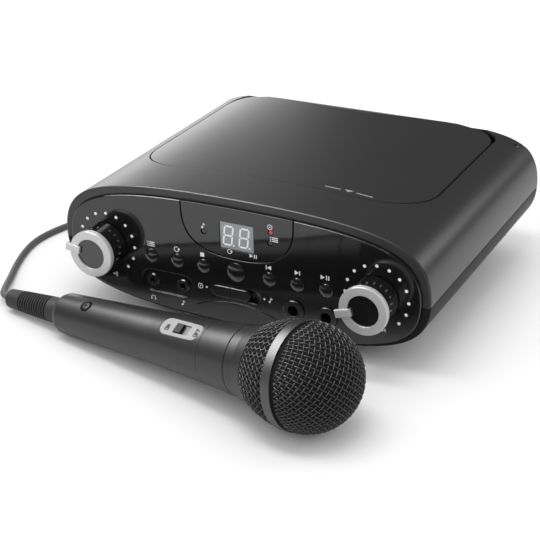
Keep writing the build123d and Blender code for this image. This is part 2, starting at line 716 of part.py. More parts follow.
def knob(prefix, x, turn):
    """Black body on its shaft, and the light ring with the pointer across it."""
    ring_back = -(KNOB_PROUD - RING_T)
    cap_face = -(KNOB_PROUD - CAP_RECESS)
    pot_end = FASCIA_T + POT_D - 1
    with BuildPart() as body:
        with BuildSketch(Plane(origin=(x, 0, KNOB_Z))):
            with BuildLine():
                Polyline((0, cap_face), (RING_BORE_R - 0.1, cap_face),
                         (RING_BORE_R - 0.1, ring_back), (KNOB_NECK_R, ring_back),
                         (KNOB_R, -KNOB_GAP), (SHAFT_R, -KNOB_GAP), (SHAFT_R, pot_end),
                         (0, pot_end), close=True)
            make_face()
        revolve(axis=Axis((x, 0, KNOB_Z), (0, 1, 0)))
    save(body.part, f"{prefix}_knob")
    with BuildPart() as ring:
        with BuildSketch(Plane(origin=(x, 0, KNOB_Z))):
            with BuildLine():
                Polyline((RING_BORE_R, -KNOB_PROUD), (RING_R - 0.4, -KNOB_PROUD),
                         (RING_R, -KNOB_PROUD + 0.4), (RING_R, ring_back - 1.5),
                         (RING_R - RING_GROOVE, ring_back - 1.5),
                         (RING_R - RING_GROOVE, ring_back - 1.0),
                         (RING_R, ring_back - 1.0), (RING_R - 0.3, ring_back),
                         (RING_BORE_R, ring_back), close=True)
            make_face()
        revolve(axis=Axis((x, 0, KNOB_Z), (0, 1, 0)))
        with BuildSketch(facing(-KNOB_PROUD + 1)):
            add(radial_bar(x, turn, RING_BORE_R - 0.01, TAB_REACH, TAB_W))
        extrude(amount=1 + TAB_PROUD)
        with BuildSketch(facing(-KNOB_PROUD + CAP_RECESS - 0.1)):
            add(radial_bar(x, turn, TAB_INNER, RING_BORE_R + 0.1, TAB_W))
        extrude(amount=CAP_RECESS - 0.1 + TAB_PROUD)
    save(ring.part, f"{prefix}_ring")
    with BuildPart() as pot:
        with BuildSketch(facing(FASCIA_T + POT_D)):
            with Locations((x, KNOB_Z)):
                Circle(POT_R)
            with Locations((x, KNOB_Z - POT_R)):
                Rectangle(12, 8)
        extrude(amount=POT_D)
        with BuildSketch(facing(FASCIA_T)):
            with Locations((x, KNOB_Z)):
                Circle(BUSHING_R)
        extrude(amount=FASCIA_T)
        with BuildSketch(facing(pot_end + 0.5)):
            with Locations((x, KNOB_Z)):
                Circle(SHAFT_R + SHAFT_FIT)
        extrude(amount=pot_end + 1, mode=Mode.SUBTRACT)
    save(pot.part, f"{prefix}_pot")


knob("echo", -KNOB_X, ECHO_TURN)
knob("volume", KNOB_X, VOLUME_TURN)

# ---------------------------------------------------------------- lid
LATCH_X = 52.0
LATCH_Y = 45.0
STRIKER = (3.0, 4.0)    # across and along
STRIKER_TOP = CASE_TOP + 0.45
STRIKER_LOW = DECK_TOP - 6.5
PLUNGER_R = 2.5
PLUNGER_Y = LATCH_Y + 9.0
PLUNGER_TRAVEL = 1.5
PLUNGER_FIT = 0.3
RIB_R = 27.0
RIB_T = 1.6
RIB_LOW = CASE_TOP - 6.55

arm_front = PIVOT_Y - 12.0
with BuildPart() as lid_under:
    # gooseneck arms: forward from the pin below the back strip, then up to the lid
    for side in (-1, 1):
        with BuildSketch(Plane.YZ.offset(side * ARM_X - ARM_W / 2)):
            with Locations((PIVOT_Y, PIVOT_Z)):
                Circle(EYE_R)
            with BuildLine():
                Polyline((PIVOT_Y, PIVOT_Z + ARM_T / 2), (arm_front + ARM_T, PIVOT_Z - 1),
                         (arm_front + ARM_T, MID_Z + CASE_H), (arm_front, MID_Z + CASE_H),
                         (arm_front, PIVOT_Z - 4), (PIVOT_Y, PIVOT_Z - EYE_R), close=True)
            make_face()
        extrude(amount=ARM_W)
    # striker that the latch holds, and the stiffening ring
    with Locations((LATCH_X, LATCH_Y, STRIKER_LOW)):
        Box(*STRIKER, STRIKER_TOP - STRIKER_LOW, align=(Align.CENTER, Align.CENTER, Align.MIN))
    with Locations((LATCH_X, LATCH_Y - STRIKER[1] / 2, STRIKER_LOW)):
        Box(STRIKER[0], 2.0, 2.0, align=(Align.CENTER, Align.CENTER, Align.MIN))
    with Locations((LATCH_X, PLUNGER_Y, DECK_TOP + 3)):
        Cylinder(PLUNGER_R - 0.5, CASE_H, align=(Align.CENTER, Align.CENTER, Align.MIN))
    with BuildSketch(level(RIB_LOW)):
        with Locations((0, DISC_Y)):
            Circle(RIB_R)
            Circle(RIB_R - RIB_T, mode=Mode.SUBTRACT)
    extrude(amount=CASE_H)
    add(case_core, mode=Mode.INTERSECT)

with BuildPart() as lid:
    add(case_outer)
    add(case_form(LID_T, RIM_Y - 1), mode=Mode.SUBTRACT)
    with BuildSketch(level(MID_Z)):
        add(plate_outline(LID_HALF_W, LID_FRONT, LID_BACK, LID_FRONT_R, LID_BACK_R))
    extrude(amount=CASE_H, mode=Mode.INTERSECT)
    add(lid_under.part)
    with BuildSketch(Plane.YZ.offset(-HALF_W)):
        with Locations((PIVOT_Y, PIVOT_Z)):
            Circle(PIN_R + PIN_FIT)
    extrude(amount=CASE_W, mode=Mode.SUBTRACT)
save(lid.part, "lid")

with BuildPart() as hinge_pins:
    for side in (-1, 1):
        with BuildSketch(Plane.YZ.offset(side * ARM_X - PIN_L / 2)):
            with Locations((PIVOT_Y, PIVOT_Z)):
                Circle(PIN_R)
        extrude(amount=PIN_L)
save(hinge_pins.part, "hinge_pins")

# ---------------------------------------------------------------- disc tray
LENS_R = 2.5
well_r = DISC_R + WELL_CLEAR
lens_front = DISC_Y - LENS_IN - SLED_TRAVEL - LENS_R - 0.5
POST_TOP = WELL_FLOOR - WELL_T
DAMPER_PLACES = [(-36.0, 60.0), (36.0, 52.0), (-36.0, 122.0), (36.0, 122.0)]
DAMPER_R = 4.5
DAMPER_WAIST_R = 3.2
DAMPER_CORE_R = 1.9
DAMPER_TOP = CHASSIS_TOP + 3.0
DAMPER_LOW = CHASSIS_TOP - 4.5
LATCH_W = 12.0
LATCH_L = 18.0
LATCH_LOW = DECK_TOP - 15.0

with BuildPart() as disc_tray:
    with BuildSketch(level(DECK_TOP - DECK_T)):
        add(plate_outline(LID_HALF_W + LID_GAP + LIP_T, LID_FRONT - LID_GAP - LIP_T,
                          LID_BACK, LID_FRONT_R + LID_GAP + LIP_T, LIP_T))
        # notches for the hinge arms
        with Locations((-ARM_X, PIVOT_Y), (ARM_X, PIVOT_Y)):
            Rectangle(ARM_W + 3, 2 * (PIVOT_Y - arm_front) + 3, mode=Mode.SUBTRACT)
    extrude(amount=DECK_T)
    # well and finger scoops: first their outsides, then the hollows
    with BuildSketch(level(WELL_FLOOR - WELL_T)):
        with Locations((0, DISC_Y)):
            Circle(well_r + WELL_T)
    extrude(amount=DECK_TOP - WELL_FLOOR + WELL_T)
    with BuildSketch(level(SCOOP_FLOOR - WELL_T)):
        with Locations((-SCOOP_X, DISC_Y), (SCOOP_X, DISC_Y)):
            Circle(SCOOP_R + WELL_T)
    extrude(amount=DECK_TOP - SCOOP_FLOOR + WELL_T)
    with BuildSketch(level(WELL_FLOOR)):
        with Locations((0, DISC_Y)):
            Circle(well_r)
    extrude(amount=DECK_TOP, mode=Mode.SUBTRACT)
    with BuildSketch(level(SCOOP_FLOOR)):
        with Locations((-SCOOP_X, DISC_Y), (SCOOP_X, DISC_Y)):
            Circle(SCOOP_R)
    extrude(amount=DECK_TOP, mode=Mode.SUBTRACT)
    # holes for the turntable and for the pickup's way
    with BuildSketch(level(WELL_FLOOR - WELL_T)):
        with Locations((0, DISC_Y)):
            Circle(SPINDLE_HOLE_R)
        with Locations((0, (lens_front + DISC_Y) / 2)):
            Rectangle(17, DISC_Y - lens_front)
    extrude(amount=WELL_T, mode=Mode.SUBTRACT)
    # legs down to the base, and the posts that carry the mechanism
    with BuildSketch(level(LEG_FOOT_Z)):
        with Locations(*LEG_PLACES):
            Circle(LEG_R)
    extrude(amount=DECK_TOP - DECK_T - LEG_FOOT_Z)
    with BuildSketch(level(DAMPER_TOP)):
        with Locations(*DAMPER_PLACES):
            Circle(DAMPER_R)
    extrude(amount=POST_TOP - DAMPER_TOP)
    with BuildSketch(level(DAMPER_LOW)):
        with Locations(*DAMPER_PLACES):
            Circle(DAMPER_CORE_R)
    extrude(amount=DAMPER_TOP - DAMPER_LOW)
    # opening over the latch
    with BuildSketch(level(DECK_TOP - DECK_T)):
        with Locations((LATCH_X, LATCH_Y)):
            Rectangle(STRIKER[0] + 3, STRIKER[1] + 6)
        with Locations((LATCH_X, PLUNGER_Y)):
            Circle(PLUNGER_R + PLUNGER_FIT)
    extrude(amount=DECK_T, mode=Mode.SUBTRACT)
save(disc_tray.part, "disc_tray")

with BuildPart() as latch_body:
    with Locations((LATCH_X, LATCH_Y + 4.0, LATCH_LOW)):
        Box(LATCH_W, LATCH_L, DECK_TOP - DECK_T - LATCH_LOW,
            align=(Align.CENTER, Align.CENTER, Align.MIN))
    with Locations((LATCH_X, LATCH_Y, STRIKER_LOW - 2)):
        Box(STRIKER[0] + 2, STRIKER[1] + 5, CASE_H, mode=Mode.SUBTRACT,
            align=(Align.CENTER, Align.CENTER, Align.MIN))
    with Locations((LATCH_X, PLUNGER_Y, LATCH_LOW + 3)):
        Cylinder(PLUNGER_R + PIN_FIT, CASE_H, mode=Mode.SUBTRACT,
                 align=(Align.CENTER, Align.CENTER, Align.MIN))
save(latch_body.part, "latch_body")

with BuildPart() as latch_plunger:
    with Locations((LATCH_X, PLUNGER_Y, LATCH_LOW + 3 + PLUNGER_TRAVEL + PLUNGER_FIT)):
        Cylinder(PLUNGER_R, DECK_TOP + 3 - PLUNGER_FIT - LATCH_LOW - 3 - PLUNGER_TRAVEL
                 - PLUNGER_FIT, align=(Align.CENTER, Align.CENTER, Align.MIN))
    fillet(latch_plunger.faces().sort_by(Axis.Z)[-1].edges(), 0.6)
save(latch_plunger.part, "latch_plunger")

# ---------------------------------------------------------------- disc mechanism
gear_x = RACK_LINE + MODULE * GEAR_TEETH / 2
pinion_reach = MODULE * (GEAR_TEETH + PINION_TEETH) / 2
pinion_x = gear_x + pinion_reach * cos(radians(PINION_TURN))
pinion_y = GEAR_Y + pinion_reach * sin(radians(PINION_TURN))
lens_y = DISC_Y - LENS_IN
rod_front = lens_y - SLED_TRAVEL - SLED_L / 2 - 4
rod_back = lens_y + SLED_L / 2 + 3
BRACKET_T = 3.0

with BuildPart() as mech_chassis:
    with BuildSketch(level(CHASSIS_TOP - CHASSIS_T)):
        with Locations((4, DISC_Y - 16)):
            RectangleRounded(CHASSIS_W, CHASSIS_L, 5)
        with Locations((0, (rod_front + 60) / 2)):
            Rectangle(48, 60 - rod_front + 4)
        with Locations((0, 66)):
            RectangleRounded(22, 44, 3, mode=Mode.SUBTRACT)
        with Locations(*DAMPER_PLACES):
            Circle(DAMPER_WAIST_R, mode=Mode.SUBTRACT)
        with Locations((0, DISC_Y)):
            Circle(4, mode=Mode.SUBTRACT)
        with Locations((pinion_x, pinion_y)):
            Circle(2, mode=Mode.SUBTRACT)
    extrude(amount=CHASSIS_T)
    # brackets for the guide rods
    with Locations(*[(side * ROD_X, y, CHASSIS_TOP) for side in (-1, 1)
                     for y in (rod_front, rod_back + BRACKET_T)]):
        Box(4.6, BRACKET_T, ROD_Z - CHASSIS_TOP + 3, align=(Align.CENTER, Align.CENTER, Align.MIN))
    with BuildSketch(facing(rod_back + 2 * BRACKET_T)):
        with Locations((-ROD_X, ROD_Z), (ROD_X, ROD_Z)):
            Circle(ROD_R)
    extrude(amount=rod_back - rod_front + 4 * BRACKET_T, mode=Mode.SUBTRACT)
    # axle of the sled gear
    with Locations((gear_x, GEAR_Y, CHASSIS_TOP)):
        Cylinder(AXLE_R + 1.5, GEAR_Z - CHASSIS_TOP - 0.1,
                 align=(Align.CENTER, Align.CENTER, Align.MIN))
        Cylinder(AXLE_R, GEAR_Z + GEAR_T + 0.6 - CHASSIS_TOP,
                 align=(Align.CENTER, Align.CENTER, Align.MIN))
save(mech_chassis.part, "mech_chassis")

with BuildPart() as mech_dampers:
    with Locations(*[(x, y, DAMPER_LOW) for x, y in DAMPER_PLACES]):
        Cylinder(DAMPER_R, DAMPER_TOP - DAMPER_LOW, align=(Align.CENTER, Align.CENTER, Align.MIN))
    with BuildSketch(level(CHASSIS_TOP - CHASSIS_T)):
        with Locations(*DAMPER_PLACES):
            Circle(DAMPER_R + 1)
            Circle(DAMPER_WAIST_R, mode=Mode.SUBTRACT)
    extrude(amount=CHASSIS_T, mode=Mode.SUBTRACT)
    with BuildSketch(level(DAMPER_LOW)):
        with Locations(*DAMPER_PLACES):
            Circle(DAMPER_CORE_R)
    extrude(amount=DAMPER_TOP - DAMPER_LOW, mode=Mode.SUBTRACT)
save(mech_dampers.part, "mech_dampers")

with BuildPart() as guide_rods:
    with BuildSketch(facing(rod_back + BRACKET_T + 1)):
        with Locations((-ROD_X, ROD_Z), (ROD_X, ROD_Z)):
            Circle(ROD_R)
    extrude(amount=rod_back - rod_front + BRACKET_T + 2)
save(guide_rods.part, "guide_rods")

SLED_LOW = CHASSIS_TOP + 1.0
TURRET_R = 6.0
TURRET_TOP = SEAT_Z - 3.7      # the lens stays below the disc
RACK_FROM = GEAR_Y - 5.0
RACK_TO = GEAR_Y + SLED_TRAVEL + 5.0
rack_pitch = pi * MODULE
with BuildPart() as pickup_sled:
    with Locations((0, lens_y, SLED_LOW)):
        Box(2 * SLED_HALF_W, SLED_L, SLED_H, align=(Align.CENTER, Align.CENTER, Align.MIN))
    fillet(pickup_sled.edges().filter_by(Axis.Z), 2)
    with Locations((0, lens_y, SLED_LOW)):
        Cylinder(TURRET_R, TURRET_TOP - SLED_LOW, align=(Align.CENTER, Align.CENTER, Align.MIN))
    with BuildSketch(facing(lens_y + SLED_L)):
        with Locations((-ROD_X, ROD_Z), (ROD_X, ROD_Z)):
            Circle(ROD_R + ROD_FIT)
    extrude(amount=2 * SLED_L, mode=Mode.SUBTRACT)
    # rack along the side, as one outline of straight-sided teeth
    with BuildSketch(level(GEAR_Z)):
        with BuildLine():
            points = [(SLED_HALF_W - 0.5, RACK_FROM)]
            count = floor((RACK_TO - GEAR_Y) / rack_pitch)
            for tooth in range(-1, count + 1):
                middle = GEAR_Y + tooth * rack_pitch
                for out, share in ((-1.15, 0.62), (0, TOOTH_SHARE), (0.85, 0.22)):
                    points.append((RACK_LINE + MODULE * out, middle - rack_pitch * share / 2))
                for out, share in ((0.85, 0.22), (0, TOOTH_SHARE), (-1.15, 0.62)):
                    points.append((RACK_LINE + MODULE * out, middle + rack_pitch * share / 2))
            points.append((SLED_HALF_W - 0.5, RACK_TO))
            Polyline(*points, close=True)
        make_face()
    extrude(amount=GEAR_T)
save(pickup_sled.part, "pickup_sled")

LENS_H = 1.8
with BuildPart() as pickup_lens:
    with Locations((0, lens_y, TURRET_TOP)):
        Cylinder(LENS_R, LENS_H, align=(Align.CENTER, Align.CENTER, Align.MIN))
    fillet(pickup_lens.faces().sort_by(Axis.Z)[-1].edges(), 0.6)
save(pickup_lens.part, "pickup_lens")

with BuildPart() as sled_gear:
    with BuildSketch(level(GEAR_Z)):
        with Locations((gear_x, GEAR_Y)):
            add(toothed_wheel(GEAR_TEETH, 180 + 180 / GEAR_TEETH))
            Circle(AXLE_R + PIN_FIT, mode=Mode.SUBTRACT)
    extrude(amount=GEAR_T)
save(sled_gear.part, "sled_gear")

MOTOR_NECK = 0.1
with BuildPart() as sled_pinion:
    with BuildSketch(level(GEAR_Z)):
        with Locations((pinion_x, pinion_y)):
            add(toothed_wheel(PINION_TEETH, 180 + PINION_TURN))
    extrude(amount=GEAR_T)
    with Locations((pinion_x, pinion_y, CHASSIS_TOP - CHASSIS_T - 5)):
        Cylinder(MOTOR_SHAFT_R, GEAR_Z - CHASSIS_TOP + CHASSIS_T + 5.5,
                 align=(Align.CENTER, Align.CENTER, Align.MIN))
save(sled_pinion.part, "sled_pinion")

with BuildPart() as sled_motor:
    with Locations((pinion_x, pinion_y, CHASSIS_TOP - CHASSIS_T - MOTOR_H)):
        Cylinder(9, MOTOR_H, align=(Align.CENTER, Align.CENTER, Align.MIN))
    chamfer(sled_motor.faces().sort_by(Axis.Z)[0].edges(), 0.8)
    with Locations((pinion_x, pinion_y, CHASSIS_TOP - CHASSIS_T - 5.5)):
        Cylinder(MOTOR_SHAFT_R + PIN_FIT, MOTOR_H, mode=Mode.SUBTRACT,
                 align=(Align.CENTER, Align.CENTER, Align.MIN))
save(sled_motor.part, "sled_motor")

with BuildPart() as spindle_motor:
    with Locations((0, DISC_Y, CHASSIS_TOP - CHASSIS_T - MOTOR_H)):
        Cylinder(MOTOR_R, MOTOR_H, align=(Align.CENTER, Align.CENTER, Align.MIN))
    chamfer(spindle_motor.faces().sort_by(Axis.Z)[0].edges(), 0.8)
    with Locations((0, DISC_Y, CHASSIS_TOP - CHASSIS_T - 6)):
        Cylinder(MOTOR_SHAFT_R + PIN_FIT, MOTOR_H, mode=Mode.SUBTRACT,
                 align=(Align.CENTER, Align.CENTER, Align.MIN))
save(spindle_motor.part, "spindle_motor")

with BuildPart() as turntable:
    with BuildSketch(Plane.YZ):
        with BuildLine():
            Polyline((DISC_Y, CHASSIS_TOP - CHASSIS_T - 5.5),
                     (DISC_Y + MOTOR_SHAFT_R, CHASSIS_TOP - CHASSIS_T - 5.5),
                     (DISC_Y + MOTOR_SHAFT_R, CHASSIS_TOP + 2), (DISC_Y + 3, CHASSIS_TOP + 2),
                     (DISC_Y + 3, SEAT_Z - 2.2), (DISC_Y + SEAT_R, SEAT_Z - 1.4),
                     (DISC_Y + SEAT_R, SEAT_Z), (DISC_Y + HUB_R, SEAT_Z),
                     (DISC_Y + HUB_R, SEAT_Z + HUB_H - 1.4),
                     (DISC_Y + HUB_R - 1.6, SEAT_Z + HUB_H),
                     (DISC_Y + 2, SEAT_Z + HUB_H), (DISC_Y, SEAT_Z + HUB_H - 0.6), close=True)
        make_face()
    revolve(axis=Axis((0, DISC_Y, 0), (0, 0, 1)))
save(turntable.part, "turntable")

# ---------------------------------------------------------------- main board and back sockets
with BuildPart() as main_board:
    with Locations((0, BOARD_Y, MAIN_BOARD_Z)):
        Box(BOARD_W, BOARD_L, BOARD_T, align=(Align.CENTER, Align.CENTER, Align.MIN))
    # decoder and driver packages, and two reservoir capacitors
    with Locations((-20, BOARD_Y - 12, MAIN_BOARD_Z + BOARD_T),
                   (18, BOARD_Y - 20, MAIN_BOARD_Z + BOARD_T)):
        Box(16, 16, 2, align=(Align.CENTER, Align.CENTER, Align.MIN))
    with Locations((44, BOARD_Y + 30, MAIN_BOARD_Z + BOARD_T),
                   (34, BOARD_Y + 42, MAIN_BOARD_Z + BOARD_T)):
        Cylinder(5, 11, align=(Align.CENTER, Align.CENTER, Align.MIN))
save(main_board.part, "main_board")

BOARD_TOP = MAIN_BOARD_Z + BOARD_T
RCA_PROUD = 8.0
inner_back = BACK_Y - WALL
with BuildPart() as rca_sockets:
    with Locations((sum(RCA_X) / 3, inner_back - 10, BOARD_TOP)):
        Box(RCA_X[2] - RCA_X[0] + 13, 9.9, 13, align=(Align.CENTER, Align.MIN, Align.MIN))
    with BuildSketch(facing(BACK_Y + 1)):
        with Locations(*[(x, SOCKET_Z) for x in RCA_X]):
            Circle(RCA_FLANGE_R)
    extrude(amount=WALL + 1.5)
    with BuildSketch(facing(BACK_Y + RCA_PROUD)):
        with Locations(*[(x, SOCKET_Z) for x in RCA_X]):
            Circle(RCA_BARREL_R)
    extrude(amount=RCA_PROUD)
    with BuildSketch(facing(BACK_Y + RCA_PROUD)):
        with Locations(*[(x, SOCKET_Z) for x in RCA_X]):
            Circle(1.65)
    extrude(amount=RCA_PROUD + 3, mode=Mode.SUBTRACT)
save(rca_sockets.part, "rca_sockets")

with BuildPart() as dc_socket:
    with Locations((DC_X, inner_back - 10, BOARD_TOP)):
        Box(10, 9.9, 11, align=(Align.CENTER, Align.MIN, Align.MIN))
    with BuildSketch(facing(BACK_Y)):
        with Locations((DC_X, SOCKET_Z)):
            Circle(DC_FACE_R)
    extrude(amount=WALL + 0.2)
    with BuildSketch(facing(BACK_Y + 1)):
        with Locations((DC_X, SOCKET_Z)):
            Circle(2.8)
            Circle(1.0, mode=Mode.SUBTRACT)
    extrude(amount=10, mode=Mode.SUBTRACT)
save(dc_socket.part, "dc_socket")

# ---------------------------------------------------------------- microphone
# It rests on the band of its head and on the end of its handle. s runs along its axis from
# the centre of the head to the cord.
mic_pitch = atan2(BAND_R - TAIL_R, HANDLE_TO - TAIL_ROUND - BAND_TO)
head_z = (BAND_R + BAND_TO * tan(mic_pitch)) * cos(mic_pitch)
yaw = radians(MIC_YAW)
mic_way = Vector(-cos(yaw) * cos(mic_pitch), sin(yaw) * cos(mic_pitch), -sin(mic_pitch))
mic_side = Vector(sin(yaw), cos(yaw), 0)
head_centre = Vector(HEAD_X, HEAD_Y, head_z)
mic_plane = Plane(origin=head_centre, x_dir=mic_way, z_dir=mic_side)
mic_axis = Axis(head_centre, mic_way)


def turned(points):
    """Solid of revolution about the microphone's axis from a closed list of (s, r)."""
    with BuildPart() as piece:
        with BuildSketch(mic_plane):
            with BuildLine():
                Polyline(*points, close=True)
            make_face()
        revolve(axis=mic_axis)
    return piece.part


def handle_r(s):
    """Outer radius of the handle: a long taper that opens out towards the head."""
    stations = [(34.0, 19.6), (60.4, 17.4), (HANDLE_BREAK, 14.8), (HANDLE_TO - TAIL_ROUND, TAIL_R)]
    for (s0, r0), (s1, r1) in zip(stations, stations[1:]):
        if s <= s1:
            return r0 + (r1 - r0) * (s - s0) / (s1 - s0)
    return TAIL_R


SWITCH_RECESS = 2.0
PLATE_T = 0.8
SWITCH_KEY_L = 4.6
SWITCH_KEY_W = 5.6
SWITCH_KEY_H = 1.6
SWITCH_WINDOW_L = 10.0
switch_turn = radians(SWITCH_TURN)
switch_out = (mic_plane.y_dir * cos(switch_turn) - mic_side * sin(switch_turn))
switch_floor = handle_r(SWITCH_S) - SWITCH_RECESS
switch_plane = Plane(origin=head_centre + mic_way * SWITCH_S + switch_out * switch_floor,
                     x_dir=mic_way, z_dir=switch_out)

tail_s = HANDLE_TO - TAIL_ROUND
handle_points = [(HANDLE_FROM, handle_r(HANDLE_FROM)), (HANDLE_BREAK, handle_r(HANDLE_BREAK)),
                 (tail_s, TAIL_R), (HANDLE_TO - 0.9, TAIL_R - 0.9), (HANDLE_TO, TAIL_R - 3.0),
                 (HANDLE_TO, BOOT_R), (tail_s, BOOT_R), (tail_s, TAIL_R - HANDLE_WALL - 1),
                 (HANDLE_BREAK, handle_r(HANDLE_BREAK) - HANDLE_WALL - 1),
                 (HANDLE_FROM, handle_r(HANDLE_FROM) - HANDLE_WALL - 1)]
with BuildPart() as mic_handle:
    add(turned(handle_points))
    with BuildSketch(switch_plane):
        SlotOverall(SWITCH_L, SWITCH_W)
    extrude(amount=2 * SWITCH_RECESS, mode=Mode.SUBTRACT)
save(mic_handle.part, "mic_handle")

with BuildPart() as mic_switch_plate:
    with BuildSketch(switch_plane):
        SlotOverall(SWITCH_L - 0.5, SWITCH_W - 0.5)
        Rectangle(SWITCH_WINDOW_L, SWITCH_KEY_W + 0.6, mode=Mode.SUBTRACT)
    extrude(amount=PLATE_T)
save(mic_switch_plate.part, "mic_switch_plate")

with BuildPart() as mic_switch_slider:
    with BuildSketch(switch_plane):
        with Locations((SWITCH_TRAVEL / 2, 0)):
            Rectangle(SWITCH_KEY_L, SWITCH_KEY_W)
    extrude(amount=SWITCH_KEY_H)
save(mic_switch_slider.part, "mic_switch_slider")

sleeve_groove = 40.4
with BuildPart() as mic_sleeve:
    add(turned([(GRILLE_BACK_S, GRILLE_BACK_R + 0.3), (33.5, 20.6), (33.8, handle_r(34.0)),
                (sleeve_groove - 0.4, handle_r(sleeve_groove)),
                (sleeve_groove, handle_r(sleeve_groove) - 0.5),
                (sleeve_groove + 0.4, handle_r(sleeve_groove)),
                (SLEEVE_TO, handle_r(SLEEVE_TO)), (SLEEVE_TO, handle_r(SLEEVE_TO) - 3),
                (GRILLE_BACK_S, GRILLE_BACK_R - 6)]))
save(mic_sleeve.part, "mic_sleeve")


def bulge(s):
    """Outer radius of the back half of the grille, from the band down to the sleeve."""
    share = (s - BAND_TO) / (GRILLE_BACK_S - BAND_TO)
    return HEAD_R - 0.9 - (HEAD_R - 0.9 - GRILLE_BACK_R) * share ** 1.7


back_stations = [BAND_TO + i * (GRILLE_BACK_S - BAND_TO) / 5 for i in range(6)]
grille_back_points = ([(s, bulge(s)) for s in back_stations]
                      + [(s, bulge(s) - GRILLE_T) for s in reversed(back_stations)])
save(turned(grille_back_points), "mic_grille_rear")

save(turned([(BAND_FROM, BAND_R), (BAND_TO, BAND_R), (BAND_TO, BAND_R - 3.6),
             (BAND_FROM, BAND_R - 3.6)]), "mic_grille_band")

front_r = HEAD_R - 0.5
with BuildPart() as mic_grille_front:
    with BuildSketch(mic_plane):
        with BuildLine():
            rim = sqrt(front_r ** 2 - BAND_FROM ** 2)
            inner_rim = sqrt((front_r - GRILLE_T) ** 2 - BAND_FROM ** 2)
            mid = front_r * sqrt(0.5)
            inner_mid = (front_r - GRILLE_T) * sqrt(0.5)
            ThreePointArc((BAND_FROM, rim), (-mid, mid), (-front_r, 0))
            Line((-front_r, 0), (GRILLE_T - front_r, 0))
            ThreePointArc((GRILLE_T - front_r, 0), (-inner_mid, inner_mid),
                          (BAND_FROM, inner_rim))
            Line((BAND_FROM, inner_rim), (BAND_FROM, rim))
        make_face()
    revolve(axis=mic_axis)
save(mic_grille_front.part, "mic_grille_front")

# capsule in its rubber cup, seated in the mouth of the sleeve
save(turned([(-6, 0), (-6, 10), (14, 10), (14, 12), (GRILLE_BACK_S, GRILLE_BACK_R - 6.05),
             (36, handle_r(36) - 6.3), (36, 0)]), "mic_capsule")

BOOT_SMOOTH = 187.0
BOOT_RIBBED = 213.0
BOOT_RIBS = 12
BOOT_GROOVE = 1.1


def boot_r(s):
    return BOOT_R + (BOOT_END_R - BOOT_R) * (s - HANDLE_TO) / (BOOT_TO - HANDLE_TO)


boot_points = [(tail_s, 0), (tail_s, BOOT_R - 0.1), (HANDLE_TO, BOOT_R - 0.1),
               (BOOT_SMOOTH, boot_r(BOOT_SMOOTH))]
rib = (BOOT_RIBBED - BOOT_SMOOTH) / BOOT_RIBS
for i in range(BOOT_RIBS):
    s = BOOT_SMOOTH + i * rib
    boot_points += [(s + 0.1 * rib, boot_r(s) - BOOT_GROOVE), (s + 0.5 * rib, boot_r(s) - BOOT_GROOVE),
                    (s + 0.6 * rib, boot_r(s)), (s + rib, boot_r(s + rib))]
boot_points += [(BOOT_TO - 1, BOOT_END_R), (BOOT_TO, BOOT_END_R - 1), (BOOT_TO, 0)]
save(turned(boot_points), "mic_boot")

# ---------------------------------------------------------------- microphone cord
# The lead leaves the boot, curves back along the left side of the machine on the surface and
# ends in a neat coil behind it. The plug lies against the coil.
cord_start = head_centre + mic_way * (BOOT_TO + 0.1)
CORD_ROUTE = [
    (-154.4, -13.8, 4.4), (-161.6, 1.0, 2.8), (-170.2, 18.4, 2.1), (-177.6, 37.0, 2.1),
    (-182.2, 56.0, 2.1), (-179.6, 76.0, 2.1), (-172.0, 97.0, 2.1),
    (-160.0, 120.0, 2.1), (-147.0, 144.0, 2.1), (-132.0, 167.0, 2.1), (-113.0, 185.0, 2.1),
    (-90.0, 195.0, 2.1), (-66.0, 198.4, 2.1), (-43.0, 196.4, 2.1),
]
COIL_X = -30.0
COIL_Y = 226.0
COIL_R = 22.0           # middle of the turns
COIL_STRANDS = 4        # side by side
COIL_LAYERS = 4
COIL_TURNS = 12.75
cord_d = 2 * CORD_R
cord_points = [cord_start, cord_start + mic_way * 8] + [Vector(*p) for p in CORD_ROUTE]
cord_radii = []
for before, here, after in zip(cord_points, cord_points[1:], cord_points[2:]):
    turn = (here - before).get_angle(after - here)
    shorter = min((here - before).length, (after - here).length)
    cord_radii.append(0.45 * shorter / tan(radians(turn) / 2))
print("cord radii", [round(r, 1) for r in cord_radii])

with BuildPart() as mic_cord:
    with BuildLine() as cord_line:
        FilletPolyline(*cord_points, radius=cord_radii)
    with BuildSketch(Plane(origin=cord_start, z_dir=cord_points[1] - cord_points[0])):
        Circle(CORD_R)
    sweep(path=cord_line.wires()[0])
cord_length = cord_line.wires()[0].length
coil_length = 2 * pi * COIL_R * COIL_TURNS
print("cord tube", round(cord_length), "coil", round(coil_length),
      "volume share", round(mic_cord.part.volume / (pi * CORD_R ** 2 * cord_length), 4))
save(mic_cord.part, "mic_cord")

coil_half = COIL_STRANDS * CORD_R
with BuildPart() as mic_cord_coil:
    with BuildSketch(level(0.1)):
        with Locations((COIL_X, COIL_Y)):
            Circle(COIL_R + coil_half)
            Circle(COIL_R - coil_half, mode=Mode.SUBTRACT)
    extrude(amount=COIL_LAYERS * cord_d)
save(mic_cord_coil.part, "mic_cord_coil")

